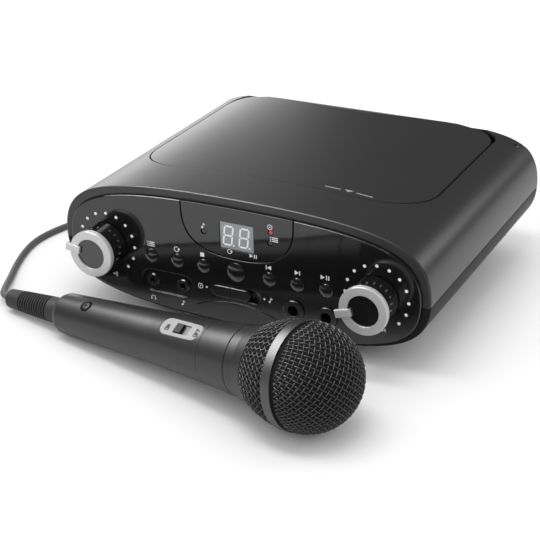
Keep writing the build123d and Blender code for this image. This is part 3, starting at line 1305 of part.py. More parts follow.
PLUG_R = 5.7
PLUG_X = -12.0
PLUG_Y = COIL_Y - COIL_R - coil_half + CORD_R + 1.1
plug_plane = Plane(origin=(PLUG_X, PLUG_Y, PLUG_R + 0.1), x_dir=(1, 0, 0), z_dir=(0, -1, 0))
with BuildPart() as mic_plug:
    with BuildSketch(plug_plane):
        with BuildLine():
            Polyline((0, 0), (0, 2.6), (12, 4.2), (12, PLUG_R - 0.4), (13, PLUG_R),
                     (38, PLUG_R), (39, PLUG_R - 0.6), (39, 3.17), (61, 3.17), (61.6, 2.2),
                     (63.4, 2.2), (65.6, 3.0), (67.6, 2.0), (69.5, 0.8), (70, 0), close=True)
        make_face()
    revolve(axis=Axis((PLUG_X, PLUG_Y, PLUG_R + 0.1), (1, 0, 0)))
save(mic_plug.part, "mic_plug")
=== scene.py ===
# %% [markdown]
# # A karaoke player and its microphone
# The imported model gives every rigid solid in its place, and this notebook dresses it.
# Lengths are in metres. One helper turns the maker's drawing coordinates, which are in
# millimetres from the middle of the front panel, into the frame that all the pieces share.

# %% Load the frame
import bmesh
import bpy
import json
from math import atan2, cos, pi, radians, sin, sqrt, tan
from mathutils import Matrix, Vector


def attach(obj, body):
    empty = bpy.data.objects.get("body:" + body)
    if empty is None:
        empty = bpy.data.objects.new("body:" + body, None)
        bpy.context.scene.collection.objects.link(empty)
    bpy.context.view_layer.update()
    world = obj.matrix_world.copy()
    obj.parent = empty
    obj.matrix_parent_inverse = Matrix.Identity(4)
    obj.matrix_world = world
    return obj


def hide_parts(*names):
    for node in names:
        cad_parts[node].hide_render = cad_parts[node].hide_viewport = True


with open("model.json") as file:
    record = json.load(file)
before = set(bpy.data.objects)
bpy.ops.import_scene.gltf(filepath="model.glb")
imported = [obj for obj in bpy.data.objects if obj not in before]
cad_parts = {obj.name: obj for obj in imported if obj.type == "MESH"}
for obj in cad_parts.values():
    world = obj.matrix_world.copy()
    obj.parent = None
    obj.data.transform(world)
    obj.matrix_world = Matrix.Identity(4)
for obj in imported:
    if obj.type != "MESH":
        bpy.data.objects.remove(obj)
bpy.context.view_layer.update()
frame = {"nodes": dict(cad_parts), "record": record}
nodes = frame["nodes"]
FRAME_BACK = 46.15      # the frame's origin lies this far behind the panel, in millimetres


def place(x, y, z):
    """A point of the drawing, in millimetres, as a point of the frame, in metres."""
    return Vector((x, y - FRAME_BACK, z)) / 1000


# %% [markdown]
# ## The camera
# A product like this is best seen through a long lens, from a little above and to the right, so
# that the sides of the case stay nearly parallel. The camera is set by its place and its three
# directions, because a matrix keeps the slight roll that two angles would lose.

# %% Camera
SENSOR_WIDE, FOCAL_LENGTH = 36, 93.66       # millimetres
NEAREST_SEEN = 0.01                         # metres
eye = place(347.47, -612.80, 383.5)
right = Vector((0.88822, 0.45871, -0.02543)).normalized()
ahead = Vector((-0.42258, 0.79403, -0.43698)).normalized()
upward = right.cross(ahead).normalized()
camera_data = bpy.data.cameras.new("studio_camera")
camera_data.sensor_width = SENSOR_WIDE
camera_data.lens = FOCAL_LENGTH
camera_data.clip_start = NEAREST_SEEN
camera = bpy.data.objects.new("studio_camera", camera_data)
bpy.context.scene.collection.objects.link(camera)
aim = Matrix((right, upward, -ahead)).transposed().to_4x4()
camera.matrix_world = Matrix.Translation(eye) @ aim
bpy.context.scene.camera = camera
print("camera at", tuple(round(v, 3) for v in eye))

# %% [markdown]
# ## The microphone's axis
# The microphone rests on the band of its head and on the end of its handle. Two radii and the
# distance between the two rests give its slope, and every piece on it is placed along its axis.

# %% Microphone axis
BAND_R, BAND_END = 28.9, 7.3        # radius of the band, and its rear edge along the axis
TAIL_R, TAIL_REST = 11.9, 174.0     # radius of the handle, where it rests on the floor
HEAD_X, HEAD_Y = 78.6, -70.1        # middle of the head, seen from above
swing = radians(11.5)               # from the front of the machine to the microphone
slope = atan2(BAND_R - TAIL_R, TAIL_REST - BAND_END)
head_height = (BAND_R + BAND_END * tan(slope)) * cos(slope)
head = Vector((HEAD_X, HEAD_Y, head_height))
along = Vector((-cos(swing) * cos(slope), sin(swing) * cos(slope), -sin(slope)))
beside = Vector((sin(swing), cos(swing), 0))
above = beside.cross(along)


def on_axis(s, out=0.0, turned=0.0):
    """Point at s along the axis, out from it, turned from the top towards the front."""
    away = above * cos(turned) - beside * sin(turned)
    return place(*(head + along * s + away * out))


print("slope", round(slope * 180 / pi, 2), "degrees")

# %% [markdown]
# ## The cord
# The lead is one fixed length of limp rubber cable. It leaves the strain relief, curves back
# past the left side of the machine and is wound into a flat coil behind it, as it would be for
# storage. One NURBS line with a control point wherever the cable changes direction gives an
# even bend, which a chain of arcs would not.

# %% Cord from the microphone to the coil
CORD_D = 4.0
BOOT_END = 224.1            # end of the strain relief, along the microphone's axis
FLOOR_Z = 2.1               # the line's height where the cable lies on the floor
cord_start = head + along * BOOT_END
route = [tuple(cord_start), tuple(cord_start + along * 8)]
route += [(-154.4, -13.8, 4.4), (-161.6, 1.0, 2.8)]
route += [(x, y, FLOOR_Z) for x, y in (
    (-170.2, 18.4), (-177.6, 37.0), (-182.2, 56.0), (-179.6, 76.0), (-172.0, 97.0),
    (-160.0, 120.0), (-147.0, 144.0), (-132.0, 167.0), (-113.0, 185.0), (-90.0, 195.0),
    (-66.0, 198.4), (-43.0, 196.4))]
print(len(route), "points to the coil")

# %% [markdown]
# Cable is coiled in flat layers, one winding inwards, the next outwards on top of it, with a
# short climb between them. A NURBS line of this order runs inside its control points, so their
# circle is widened by the share that brings the line itself to the radius that is wanted.

# %% Coil and plug end
COIL_X, COIL_Y = -30.0, 226.0
INNER_R, OUTER_R = 16.0, 28.0
LAYERS, TURNS, PER_TURN = 4, 3, 16
CLIMB = PER_TURN // 4       # points in the climb to the next layer
widen = 1 / (0.75 + 0.25 * cos(2 * pi / PER_TURN))
angle = -90.0


def coil_point(radius, height):
    """Control point on the coil at the present angle."""
    return (COIL_X + widen * radius * cos(radians(angle)),
            COIL_Y + widen * radius * sin(radians(angle)), height)


for layer in range(LAYERS):
    layer_z = FLOOR_Z + layer * CORD_D
    start_r, end_r = (OUTER_R, INNER_R) if layer % 2 == 0 else (INNER_R, OUTER_R)
    for mark in range(TURNS * PER_TURN):
        radius = start_r + (end_r - start_r) * mark / (TURNS * PER_TURN)
        route.append(coil_point(radius, layer_z))
        angle += 360 / PER_TURN
    if layer < LAYERS - 1:
        for mark in range(CLIMB):
            route.append(coil_point(end_r, layer_z + CORD_D * mark / CLIMB))
            angle += 360 / PER_TURN
top = FLOOR_Z + (LAYERS - 1) * CORD_D
route += [(-58.4, 222.0, top), (-59.0, 211.0, top - 0.6), (-53.0, 201.0, 12.6),
          (-43.0, 194.6, 11.4), (-31.0, 193.6, 9.0), (-22.0, 196.4, 7.0), (-16.0, 199.0, 5.9),
          (-12.1, 199.1, 5.8)]
print(len(route), "points to the plug")

# %% [markdown]
# The line gets its thickness from a round bevel. A tube swept by hand would do as well, but a
# curve stays a curve, and its length can be measured once its thickness is taken off.


# %% Cable from a line
def spline_curve(name, points, radius):
    """An open curve of round section through control points given in millimetres."""
    curve = bpy.data.curves.new(name, "CURVE")
    curve.dimensions = "3D"
    curve.bevel_depth = 1.0    # times each point's own radius
    curve.bevel_resolution = 3
    curve.resolution_u = 4
    curve.use_fill_caps = True
    line = curve.splines.new("NURBS")
    line.points.add(len(points) - 1)
    for point, here in zip(line.points, points):
        point.co = (*place(*here), 1)
        point.radius = radius / 1000
    line.order_u = 3
    line.use_endpoint_u = True
    made = bpy.data.objects.new(name, curve)
    bpy.context.scene.collection.objects.link(made)
    return made


def line_length(made):
    """Length of a curve's own line, with its thickness taken off."""
    bare = made.data.copy()
    bare.bevel_depth = 0
    probe = bpy.data.objects.new("probe", bare)
    mesh = bpy.data.meshes.new_from_object(probe)
    spots = [v.co.copy() for v in mesh.vertices]
    bpy.data.objects.remove(probe)
    bpy.data.meshes.remove(mesh)
    return sum((b - a).length for a, b in zip(spots, spots[1:]))


print("cable helpers ready")

# %% [markdown]
# Rubber cable bends but doesn't stretch. It stands for two solids, a plain tube and a closed
# ring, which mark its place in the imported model.

# %% Cord as one piece
cord = spline_curve("microphone_cord", route, CORD_D / 2)
cord_length = line_length(cord)
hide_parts("mic_cord", "mic_cord_coil")
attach(cord, "machine")
print("cord", round(cord_length, 3), "m long")

# %% [markdown]
# ## Finishes
# Every moulding, metal and rubber starts from the same few moves. A slow noise shifts the
# colour a little, a finer one shifts the roughness, and a grain lifts the surface. The edge
# of a real moulding is never sharp, so a small rounding is worked into the shading as well.
# A painted texture would need an unwrapped surface, and these noises need only its place.


# %% Finish helper
DRIFT_SCALE, DRIFT_DETAIL, GRAIN_DETAIL = 26, 4, 3
COAT_ROUGH, GRAIN_STRENGTH = 0.06, 0.5
DULLEST, SHINIEST = 1.15, 0.85      # share of the roughness, between which the grain moves it
EDGE_SAMPLES = 4


def finish(name, colour, rough, grain, metal=0.0, coat=0.0, shift=0.12, lift=0.00004,
           edge=0.0004, specular=0.5):
    """Material with drifting colour and roughness, a grain and softened edges.

    grain is the scale of the fine noise, shift the share by which the colour drifts. lift is
    the height of the grain and edge the rounding's radius, both in metres.
    """
    made = bpy.data.materials.new(name)
    made.use_nodes = True
    tree = made.node_tree
    shader = tree.nodes["Principled BSDF"]
    shader.inputs["Metallic"].default_value = metal
    shader.inputs["Coat Weight"].default_value = coat
    shader.inputs["Coat Roughness"].default_value = COAT_ROUGH
    shader.inputs["Specular IOR Level"].default_value = specular
    spot = tree.nodes.new("ShaderNodeTexCoord")
    drift = tree.nodes.new("ShaderNodeTexNoise")
    drift.inputs["Scale"].default_value = DRIFT_SCALE
    drift.inputs["Detail"].default_value = DRIFT_DETAIL
    fine = tree.nodes.new("ShaderNodeTexNoise")
    fine.inputs["Scale"].default_value = grain
    fine.inputs["Detail"].default_value = GRAIN_DETAIL
    for noise in (drift, fine):
        tree.links.new(spot.outputs["Object"], noise.inputs["Vector"])
    tint = tree.nodes.new("ShaderNodeMapRange")
    tint.inputs["To Min"].default_value = 1 - shift
    tint.inputs["To Max"].default_value = 1 + shift
    tree.links.new(drift.outputs["Fac"], tint.inputs["Value"])
    paint = tree.nodes.new("ShaderNodeVectorMath")
    paint.operation = "SCALE"
    paint.inputs[0].default_value = colour
    tree.links.new(tint.outputs["Result"], paint.inputs["Scale"])
    tree.links.new(paint.outputs["Vector"], shader.inputs["Base Color"])
    dull = tree.nodes.new("ShaderNodeMapRange")
    dull.inputs["To Min"].default_value = rough * SHINIEST
    dull.inputs["To Max"].default_value = min(1.0, rough * DULLEST)
    tree.links.new(fine.outputs["Fac"], dull.inputs["Value"])
    tree.links.new(dull.outputs["Result"], shader.inputs["Roughness"])
    bump = tree.nodes.new("ShaderNodeBump")
    bump.inputs["Strength"].default_value = GRAIN_STRENGTH
    bump.inputs["Distance"].default_value = lift
    tree.links.new(fine.outputs["Fac"], bump.inputs["Height"])
    if edge:
        soft = tree.nodes.new("ShaderNodeBevel")
        soft.samples = EDGE_SAMPLES
        soft.inputs["Radius"].default_value = edge
        tree.links.new(soft.outputs["Normal"], bump.inputs["Normal"])
    tree.links.new(bump.outputs["Normal"], shader.inputs["Normal"])
    return made


print("finish helper ready")

# %% [markdown]
# A table names a finish for each slot of the record, so that a later scene can repaint a slot
# without touching the shapes. It starts with the case, which is moulded in charcoal with a
# fine satin texture. The lid has no softened edge, because its rim is a thin line of shadow.

# %% Finishes of the case
slot_finish = {
    "case": finish("satin_case", (0.031, 0.031, 0.0315), 0.32, 2600, shift=0.05, lift=0.00001,
                   edge=0.0005, specular=0.4),
    "base": finish("satin_base", (0.014, 0.014, 0.0145), 0.36, 2600, shift=0.05, lift=0.00001,
                   edge=0.0005, specular=0.04),
    "lid": finish("satin_lid", (0.031, 0.031, 0.0315), 0.32, 2600, shift=0.05, lift=0.00001,
                  edge=0, specular=0.4),
    "tray": finish("satin_tray", (0.034, 0.034, 0.036), 0.42, 2000),
}
print(len(slot_finish), "finishes of the case")

# %% [markdown]
# The panel, its window, the buttons and the knobs are polished nearly black. Their base colour
# is as dark as a real moulding's, and what is seen of them is mostly the clear coat's
# reflection. The rings of the knobs are silver paint, which is only a little metallic.

# %% Finishes of the panel and its controls
slot_finish |= {
    "fascia": finish("polished_panel", (0.008, 0.008, 0.008), 0.10, 900, coat=0.3, lift=0.000003,
                     edge=0.0008),
    "lens": finish("polished_window", (0.009, 0.009, 0.0095), 0.08, 900, coat=0.4, lift=0.000003),
    "display": finish("display_glass", (0.30, 0.32, 0.33), 0.25, 1500, coat=0.3),
    "led_red": finish("lamp_lens", (0.07, 0.07, 0.07), 0.30, 1500, edge=0),
    "button": finish("polished_button", (0.010, 0.010, 0.011), 0.12, 900, coat=0.5, lift=0.000004),
    "knob": finish("polished_knob", (0.010, 0.010, 0.011), 0.12, 900, coat=0.6, lift=0.000004),
    "knob_ring": finish("silver_ring", (0.58, 0.58, 0.58), 0.26, 3200, metal=0.15, shift=0.03,
                        lift=0.00001, edge=0.0007),
    "jack_black": finish("jack_moulding", (0.012, 0.012, 0.012), 0.16, 1500, coat=0.4,
                         lift=0.00001, edge=0.0006),
    "slider": finish("slider_moulding", (0.012, 0.012, 0.012), 0.18, 1500, coat=0.4,
                     lift=0.00001, edge=0.0006),
}
print(len(slot_finish), "finishes with the controls")

# %% [markdown]
# Underneath and inside are zinc and tinned steel, a plated chassis with ground rods, acetal
# gears, bare mouldings and boards under green lacquer. Metals take the full metallic setting,
# so that their colour is the colour of their shine.

# %% Finishes of fixings and mechanism
STEEL = (0.5, 0.5, 0.5)
slot_finish |= {
    "foot_rubber": finish("foot_rubber", (0.02, 0.02, 0.02), 0.85, 1500, lift=0.0001),
    "screw_steel": finish("zinc_steel", STEEL, 0.38, 1800, metal=1.0),
    "switch_metal": finish("tinned_steel", STEEL, 0.40, 1800, metal=1.0),
    "pot_metal": finish("tinned_can", STEEL, 0.42, 1800, metal=1.0),
    "pin_steel": finish("bright_pin", STEEL, 0.30, 1800, metal=1.0),
    "chassis": finish("plated_sheet", (0.52, 0.53, 0.55), 0.35, 1500, metal=1.0),
    "rod_steel": finish("ground_rod", (0.7, 0.7, 0.71), 0.15, 1500, metal=1.0),
    "motor": finish("motor_can", STEEL, 0.35, 1500, metal=1.0),
    "rca_metal": finish("plated_socket", (0.72, 0.70, 0.64), 0.25, 1500, metal=1.0),
    "plug_metal": finish("plated_plug", (0.68, 0.68, 0.69), 0.24, 1500, metal=1.0),
    "latch": finish("latch_moulding", (0.05, 0.05, 0.05), 0.45, 1500),
    "plunger": finish("acetal_plunger", (0.6, 0.6, 0.58), 0.40, 1500),
    "gear": finish("acetal_gear", (0.68, 0.67, 0.62), 0.42, 1500),
    "sled": finish("sled_moulding", (0.05, 0.05, 0.05), 0.45, 1500),
    "pickup_glass": finish("coated_lens", (0.12, 0.14, 0.35), 0.05, 900, coat=1.0, edge=0),
    "turntable": finish("turntable_moulding", (0.03, 0.03, 0.03), 0.45, 1500),
    "damper": finish("damper_rubber", (0.03, 0.03, 0.03), 0.8, 1500),
    "board": finish("lacquered_board", (0.03, 0.14, 0.06), 0.35, 1200),
    "dc_black": finish("socket_moulding", (0.02, 0.02, 0.02), 0.45, 1500),
}
print(len(slot_finish), "finishes with the mechanism")

# %% [markdown]
# The microphone is sprayed in satin paint. Its switch plate is a flat pale grey, the band of
# its head is darkened metal, and the solid under the wire cloth is a dull black shadow. The
# strain relief and the cord are soft rubber with next to no shine.

# %% Finishes of the microphone
slot_finish |= {
    "mic_body": finish("microphone_paint", (0.023, 0.023, 0.0235), 0.36, 2600, shift=0.06,
                       lift=0.00001, specular=0.4),
    "mic_plate": finish("plate_paint", (0.38, 0.38, 0.38), 0.55, 1800, specular=0.25),
    "mic_slider": finish("slider_black", (0.012, 0.012, 0.012), 0.60, 1800, specular=0.25),
    "mic_mesh": finish("mesh_shadow", (0.006, 0.006, 0.006), 0.9, 1500, edge=0, specular=0.1),
    "mic_band": finish("satin_band", (0.085, 0.085, 0.087), 0.38, 2200, metal=0.75),
    "mic_foam": finish("capsule_foam", (0.02, 0.02, 0.02), 0.95, 1200, lift=0.0003),
    "mic_boot": finish("boot_rubber", (0.024, 0.024, 0.025), 0.55, 1500, specular=0.3),
    "cord": finish("cord_rubber", (0.085, 0.085, 0.09), 0.55, 1500, edge=0),
}
print(len(slot_finish), "finishes in all")

# %% [markdown]
# A node's own mesh is never changed. Its material slots are linked to the object instead of
# the mesh, and take the finish that the record names for them.

# %% Dress the CAD nodes
record = frame["record"]
for entry in record["subparts"]:
    piece = nodes[entry["node"]]
    for slot in piece.material_slots:
        slot.link = "OBJECT"
        slot.material = slot_finish[entry["material_slot"]]
cord.data.materials.append(slot_finish["cord"])
print("dressed", len(record["subparts"]), "nodes")

# %% [markdown]
# ## The woven head
# The head of a hand microphone is wire cloth, pressed into a dome in front and rolled into a
# tapered skirt behind the band. A texture would go flat at its outline, so the wires are made.
# Each family of wires is one straight line, copied and bent over the form by nodes, and it
# goes up and down once for each wire that it crosses.


# %% Node helpers
def new_tree(name, **sizes):
    """Geometry node tree with a number input for each size and a material input."""
    tree = bpy.data.node_groups.new(name, "GeometryNodeTree")
    for label, value in sizes.items():
        socket = tree.interface.new_socket(label, in_out="INPUT", socket_type="NodeSocketFloat")
        socket.default_value = value
    tree.interface.new_socket("Finish", in_out="INPUT", socket_type="NodeSocketMaterial")
    tree.interface.new_socket("Geometry", in_out="OUTPUT", socket_type="NodeSocketGeometry")
    return tree, tree.nodes.new("NodeGroupInput"), tree.nodes.new("NodeGroupOutput")


def step(tree, kind, **settings):
    """One node of a tree, with its settings."""
    made = tree.nodes.new(kind)
    for key, value in settings.items():
        setattr(made, key, value)
    return made


def join(tree, source, target):
    """Feed a socket from another socket or from a number."""
    if isinstance(source, (int, float)):
        target.default_value = source
    else:
        tree.links.new(source, target)


def calc(tree, operation, *values):
    """One sum of numbers or sockets."""
    made = step(tree, "ShaderNodeMath", operation=operation)
    for socket, value in zip(made.inputs, values):
        join(tree, value, socket)
    return made.outputs[0]


def dressed(tree, shape, finish_socket):
    """Realize Instances and Set Material, the two steps that end every tree."""
    real = step(tree, "GeometryNodeRealizeInstances")
    join(tree, shape, real.inputs[0])
    dress = step(tree, "GeometryNodeSetMaterial")
    join(tree, real.outputs[0], dress.inputs["Geometry"])
    join(tree, finish_socket, dress.inputs["Material"])
    return dress.outputs[0]


print("node helpers ready")

# %% [markdown]
# A tree is only the way to a shape, and the piece that is kept is a plain mesh. The tree runs
# on an empty holder, the result is copied, the holder is removed, and only then is the mesh
# set in its place, so that the object itself stays at the origin.


# %% From a tree to a piece
def set_piece(name, mesh, body):
    """Object for a finished mesh, which rides on a body."""
    made = bpy.data.objects.new(name, mesh)
    bpy.context.scene.collection.objects.link(made)
    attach(made, body)
    print(name, len(mesh.polygons), "faces")
    return made


def bake(name, tree, transform, body, look):
    """Run a tree on an empty mesh, keep its result as a plain mesh and set it in place."""
    holder = bpy.data.objects.new(name + "_holder", bpy.data.meshes.new(name + "_holder"))
    bpy.context.scene.collection.objects.link(holder)
    nodes_step = holder.modifiers.new("nodes", "NODES")
    nodes_step.node_group = tree
    for item in tree.interface.items_tree:
        if item.in_out == "INPUT" and item.name == "Finish":
            nodes_step[item.identifier] = look
    seen = holder.evaluated_get(bpy.context.evaluated_depsgraph_get())
    mesh = bpy.data.meshes.new_from_object(seen)
    holder.modifiers.clear()
    bpy.data.objects.remove(holder)
    mesh.transform(transform)
    mesh.update()
    return set_piece(name, mesh, body)


print("piece helpers ready")

# %% [markdown]
# The lines of the cloth become tubes of six sides, which is enough for a wire this thin and
# keeps thousands of crossings light.

# %% Tubes from lines
WIRE_SIDES = 6


def wires_to_mesh(tree, curve, wire, finish_socket):
    """Round wires along curves, in a finish."""
    ring = step(tree, "GeometryNodeCurvePrimitiveCircle")
    ring.inputs["Resolution"].default_value = WIRE_SIDES
    join(tree, wire, ring.inputs["Radius"])
    tube = step(tree, "GeometryNodeCurveToMesh")
    join(tree, curve, tube.inputs["Curve"])
    join(tree, ring.outputs["Curve"], tube.inputs["Profile Curve"])
    tube.inputs["Fill Caps"].default_value = True
    return dressed(tree, tube.outputs[0], finish_socket)


print("tube helper ready")

# %% [markdown]
# Both pieces of cloth start as a family of copies of one straight unit line. Each copy keeps
# its number and each point its share of the way along, and from these two a rule gives the
# point's place.


# %% Families of lines
def wire_family(tree, count, samples):
    """Copies of one unit line along X: gives the curves, their number and the place on them."""
    unit = step(tree, "GeometryNodeCurvePrimitiveLine")
    unit.inputs["Start"].default_value = (0, 0, 0)
    unit.inputs["End"].default_value = (1, 0, 0)
    fine = step(tree, "GeometryNodeResampleCurve")
    join(tree, unit.outputs[0], fine.inputs["Curve"])
    fine.inputs["Count"].default_value = samples
    copies = step(tree, "GeometryNodeDuplicateElements", domain="SPLINE")
    join(tree, fine.outputs[0], copies.inputs["Geometry"])
    copies.inputs["Amount"].default_value = count
    keep = step(tree, "GeometryNodeCaptureAttribute", domain="CURVE")
    keep.capture_items.new("INT", "number")
    join(tree, copies.outputs["Geometry"], keep.inputs["Geometry"])
    join(tree, copies.outputs["Duplicate Index"], keep.inputs[1])
    where = step(tree, "GeometryNodeInputPosition")
    parts = step(tree, "ShaderNodeSeparateXYZ")
    join(tree, where.outputs[0], parts.inputs[0])
    return keep.outputs["Geometry"], keep.outputs[1], parts.outputs["X"]


def move_to(tree, curves, x, y, z):
    """Set the points of the curves to computed places."""
    spot = step(tree, "ShaderNodeCombineXYZ")
    for socket, value in zip(spot.inputs, (x, y, z)):
        join(tree, value, socket)
    moved = step(tree, "GeometryNodeSetPosition")
    join(tree, curves, moved.inputs["Geometry"])
    join(tree, spot.outputs[0], moved.inputs["Position"])
    return moved.outputs["Geometry"]


print("line helpers ready")

# %% [markdown]
# The dome is a square cloth laid over a ball. A point keeps its distance from the pole as an
# arc, which is how cloth drapes when it is pressed, so the squares stretch towards the band.

# %% Dome of woven wire
DOME_LINES = 33
SAMPLES = 4 * DOME_LINES        # points on each wire, four to a crossing
dome_tree, sizes_in, shape_out = new_tree(
    "woven_dome", Radius=0.0281, Pitch=0.00275, Weave=0.00028, Wire=0.00031, Edge=0.0440)
size = sizes_in.outputs
families = []
for family in range(2):
    curves, number, share = wire_family(dome_tree, DOME_LINES, SAMPLES)
    line_no = calc(dome_tree, "SUBTRACT", number, (DOME_LINES - 1) / 2)
    run = calc(dome_tree, "MULTIPLY", calc(dome_tree, "SUBTRACT", share, 0.5),
               calc(dome_tree, "MULTIPLY", size["Pitch"], DOME_LINES - 1))
    across = calc(dome_tree, "MULTIPLY", line_no, size["Pitch"])
    beat = calc(dome_tree, "MULTIPLY", pi,
                calc(dome_tree, "ADD", calc(dome_tree, "DIVIDE", run, size["Pitch"]), line_no))
    wave = calc(dome_tree, "MULTIPLY", calc(dome_tree, "COSINE", beat), size["Weave"])
    arc = calc(dome_tree, "SQRT", calc(dome_tree, "ADD", calc(dome_tree, "POWER", run, 2.0),
                                       calc(dome_tree, "POWER", across, 2.0)))
    arc = calc(dome_tree, "MAXIMUM", arc, 1e-6)        # no division by zero at the pole
    ball_r = calc(dome_tree, "ADD" if family == 0 else "SUBTRACT", size["Radius"], wave)
    polar = calc(dome_tree, "DIVIDE", arc, size["Radius"])
    flat_r = calc(dome_tree, "DIVIDE",
                  calc(dome_tree, "MULTIPLY", ball_r, calc(dome_tree, "SINE", polar)), arc)
    one = calc(dome_tree, "MULTIPLY", flat_r, run)
    two = calc(dome_tree, "MULTIPLY", flat_r, across)
    height = calc(dome_tree, "MULTIPLY", ball_r, calc(dome_tree, "COSINE", polar))
    x, y = (one, two) if family == 0 else (two, one)
    trim = step(dome_tree, "GeometryNodeDeleteGeometry", domain="POINT")
    join(dome_tree, curves, trim.inputs["Geometry"])
    beyond = step(dome_tree, "FunctionNodeCompare", operation="GREATER_THAN")
    join(dome_tree, arc, beyond.inputs[0])
    join(dome_tree, size["Edge"], beyond.inputs[1])
    join(dome_tree, beyond.outputs[0], trim.inputs["Selection"])
    families.append(move_to(dome_tree, trim.outputs[0], x, y, height))
both = step(dome_tree, "GeometryNodeJoinGeometry")
for curves in families:
    join(dome_tree, curves, both.inputs[0])
join(dome_tree, wires_to_mesh(dome_tree, both.outputs[0], size["Wire"], size["Finish"]),
     shape_out.inputs[0])

wire_paint = finish("wire_paint", (0.058, 0.0575, 0.057), 0.38, 1800, metal=0.4, edge=0, shift=0.2)
pole = -along
side_a = (above + beside).normalized()
side_b = pole.cross(side_a)
dome_turn = Matrix((side_a, side_b, pole)).transposed().to_4x4()
dome_place = Matrix.Translation(place(*head)) @ dome_turn
dome = bake("microphone_dome_wires", dome_tree, dome_place, "machine", wire_paint)

# %% [markdown]
# Behind the band the cloth narrows to the neck. Its wires run round the taper both ways as
# long screws, so the openings are diamonds that shrink towards the handle.

# %% Skirt of woven wire
SKIRT_WIRES = 46
SKIRT_SAMPLES = 61
SKIRT_TURN = 0.76       # radians that each wire turns between the band and the neck
SKIRT_BELLY = 1.7       # above 1, the cloth leaves the band almost straight
skirt_tree, sizes_in, shape_out = new_tree(
    "woven_skirt", Wide=0.0279, Narrow=0.0214, Length=0.0202, Weave=0.00028, Wire=0.00030)
size = sizes_in.outputs
families = []
for hand in (1, -1):
    curves, number, share = wire_family(skirt_tree, SKIRT_WIRES, SKIRT_SAMPLES)
    crossings = calc(skirt_tree, "MULTIPLY", share, SKIRT_TURN * SKIRT_WIRES)
    wave = calc(skirt_tree, "MULTIPLY", calc(skirt_tree, "COSINE", crossings), size["Weave"])
    drop = calc(skirt_tree, "MULTIPLY", calc(skirt_tree, "SUBTRACT", size["Wide"],
                                             size["Narrow"]),
                calc(skirt_tree, "POWER", share, SKIRT_BELLY))
    around = calc(skirt_tree, "ADD" if hand > 0 else "SUBTRACT",
                  calc(skirt_tree, "SUBTRACT", size["Wide"], drop), wave)
    angle_now = calc(skirt_tree, "ADD", calc(skirt_tree, "MULTIPLY", number,
                                             2 * pi / SKIRT_WIRES),
                     calc(skirt_tree, "MULTIPLY", share, hand * SKIRT_TURN))
    families.append(move_to(
        skirt_tree, curves,
        calc(skirt_tree, "MULTIPLY", around, calc(skirt_tree, "COSINE", angle_now)),
        calc(skirt_tree, "MULTIPLY", around, calc(skirt_tree, "SINE", angle_now)),
        calc(skirt_tree, "MULTIPLY", share, size["Length"])))
both = step(skirt_tree, "GeometryNodeJoinGeometry")
for curves in families:
    join(skirt_tree, curves, both.inputs[0])
join(skirt_tree, wires_to_mesh(skirt_tree, both.outputs[0], size["Wire"], size["Finish"]),
     shape_out.inputs[0])
skirt_turn = Matrix((above, along.cross(above), along)).transposed().to_4x4()
skirt_place = Matrix.Translation(on_axis(BAND_END)) @ skirt_turn
skirt = bake("microphone_skirt_wires", skirt_tree, skirt_place, "machine", wire_paint)

# %% [markdown]
# ## Printed marks
# The panel's marks are screen printed in off-white ink: a scale of dots round each knob and a
# small plain sign beside each control. Ink has almost no height, so each sign is a flat shape
# that stands one sheet of paper proud of the panel.

# %% Ink and outlines
ink = finish("white_ink", (0.90, 0.90, 0.90), 0.5, 1500, edge=0, shift=0.03)
faint_ink = finish("grey_ink", (0.28, 0.28, 0.28), 0.5, 1500, edge=0, shift=0.04)
# shade_ink is near black: painted shade in the screw's well and cross and on the arch groove's
# floor, and dark print for the switch's letters.
shade_ink = finish("print_and_painted_shade", (0.003, 0.003, 0.003), 0.8, 1500, edge=0, shift=0.04,
                   specular=0.08)


def bar(x0, z0, x1, z1):
    """Rectangle between two corners."""
    return [(x0, z0), (x1, z0), (x1, z1), (x0, z1)]


def stroke(points, width):
    """Open line of even width as a row of four-sided pieces."""
    made = []
    for (x0, z0), (x1, z1) in zip(points, points[1:]):
        run = sqrt((x1 - x0) ** 2 + (z1 - z0) ** 2)
        nx, nz = -(z1 - z0) / run * width / 2, (x1 - x0) / run * width / 2
        made.append([(x0 - nx, z0 - nz), (x1 - nx, z1 - nz), (x1 + nx, z1 + nz),
                     (x0 + nx, z0 + nz)])
    return made


def arc_points(x, z, radius, start, end, steps=12):
    """Points along an arc between two angles in degrees."""
    return [(x + radius * cos(radians(start + (end - start) * i / steps)),
             z + radius * sin(radians(start + (end - start) * i / steps)))
            for i in range(steps + 1)]


def disc(x, z, radius):
    """Round dot of sixteen sides."""
    return arc_points(x, z, radius, 0, 337.5, 15)


def grow(shapes, x, z, by):
    """Outlines made larger about a point."""
    return [[(x + (a - x) * by, z + (b - z) * by) for a, b in shape] for shape in shapes]


print("outline helpers ready")

# %% [markdown]
# Every sign goes on by the same helper. Each outline becomes a thin plate with a front, a back
# and sides, so that the mesh is closed, and it is first wound the same way round, so that its
# front looks outwards. Where the plate lies is left to a small function for each surface.

# %% Printing on a surface
INK_T = 0.05        # millimetres
INK_CLEAR = 0.005   # gap that keeps the back of the ink out of the panel


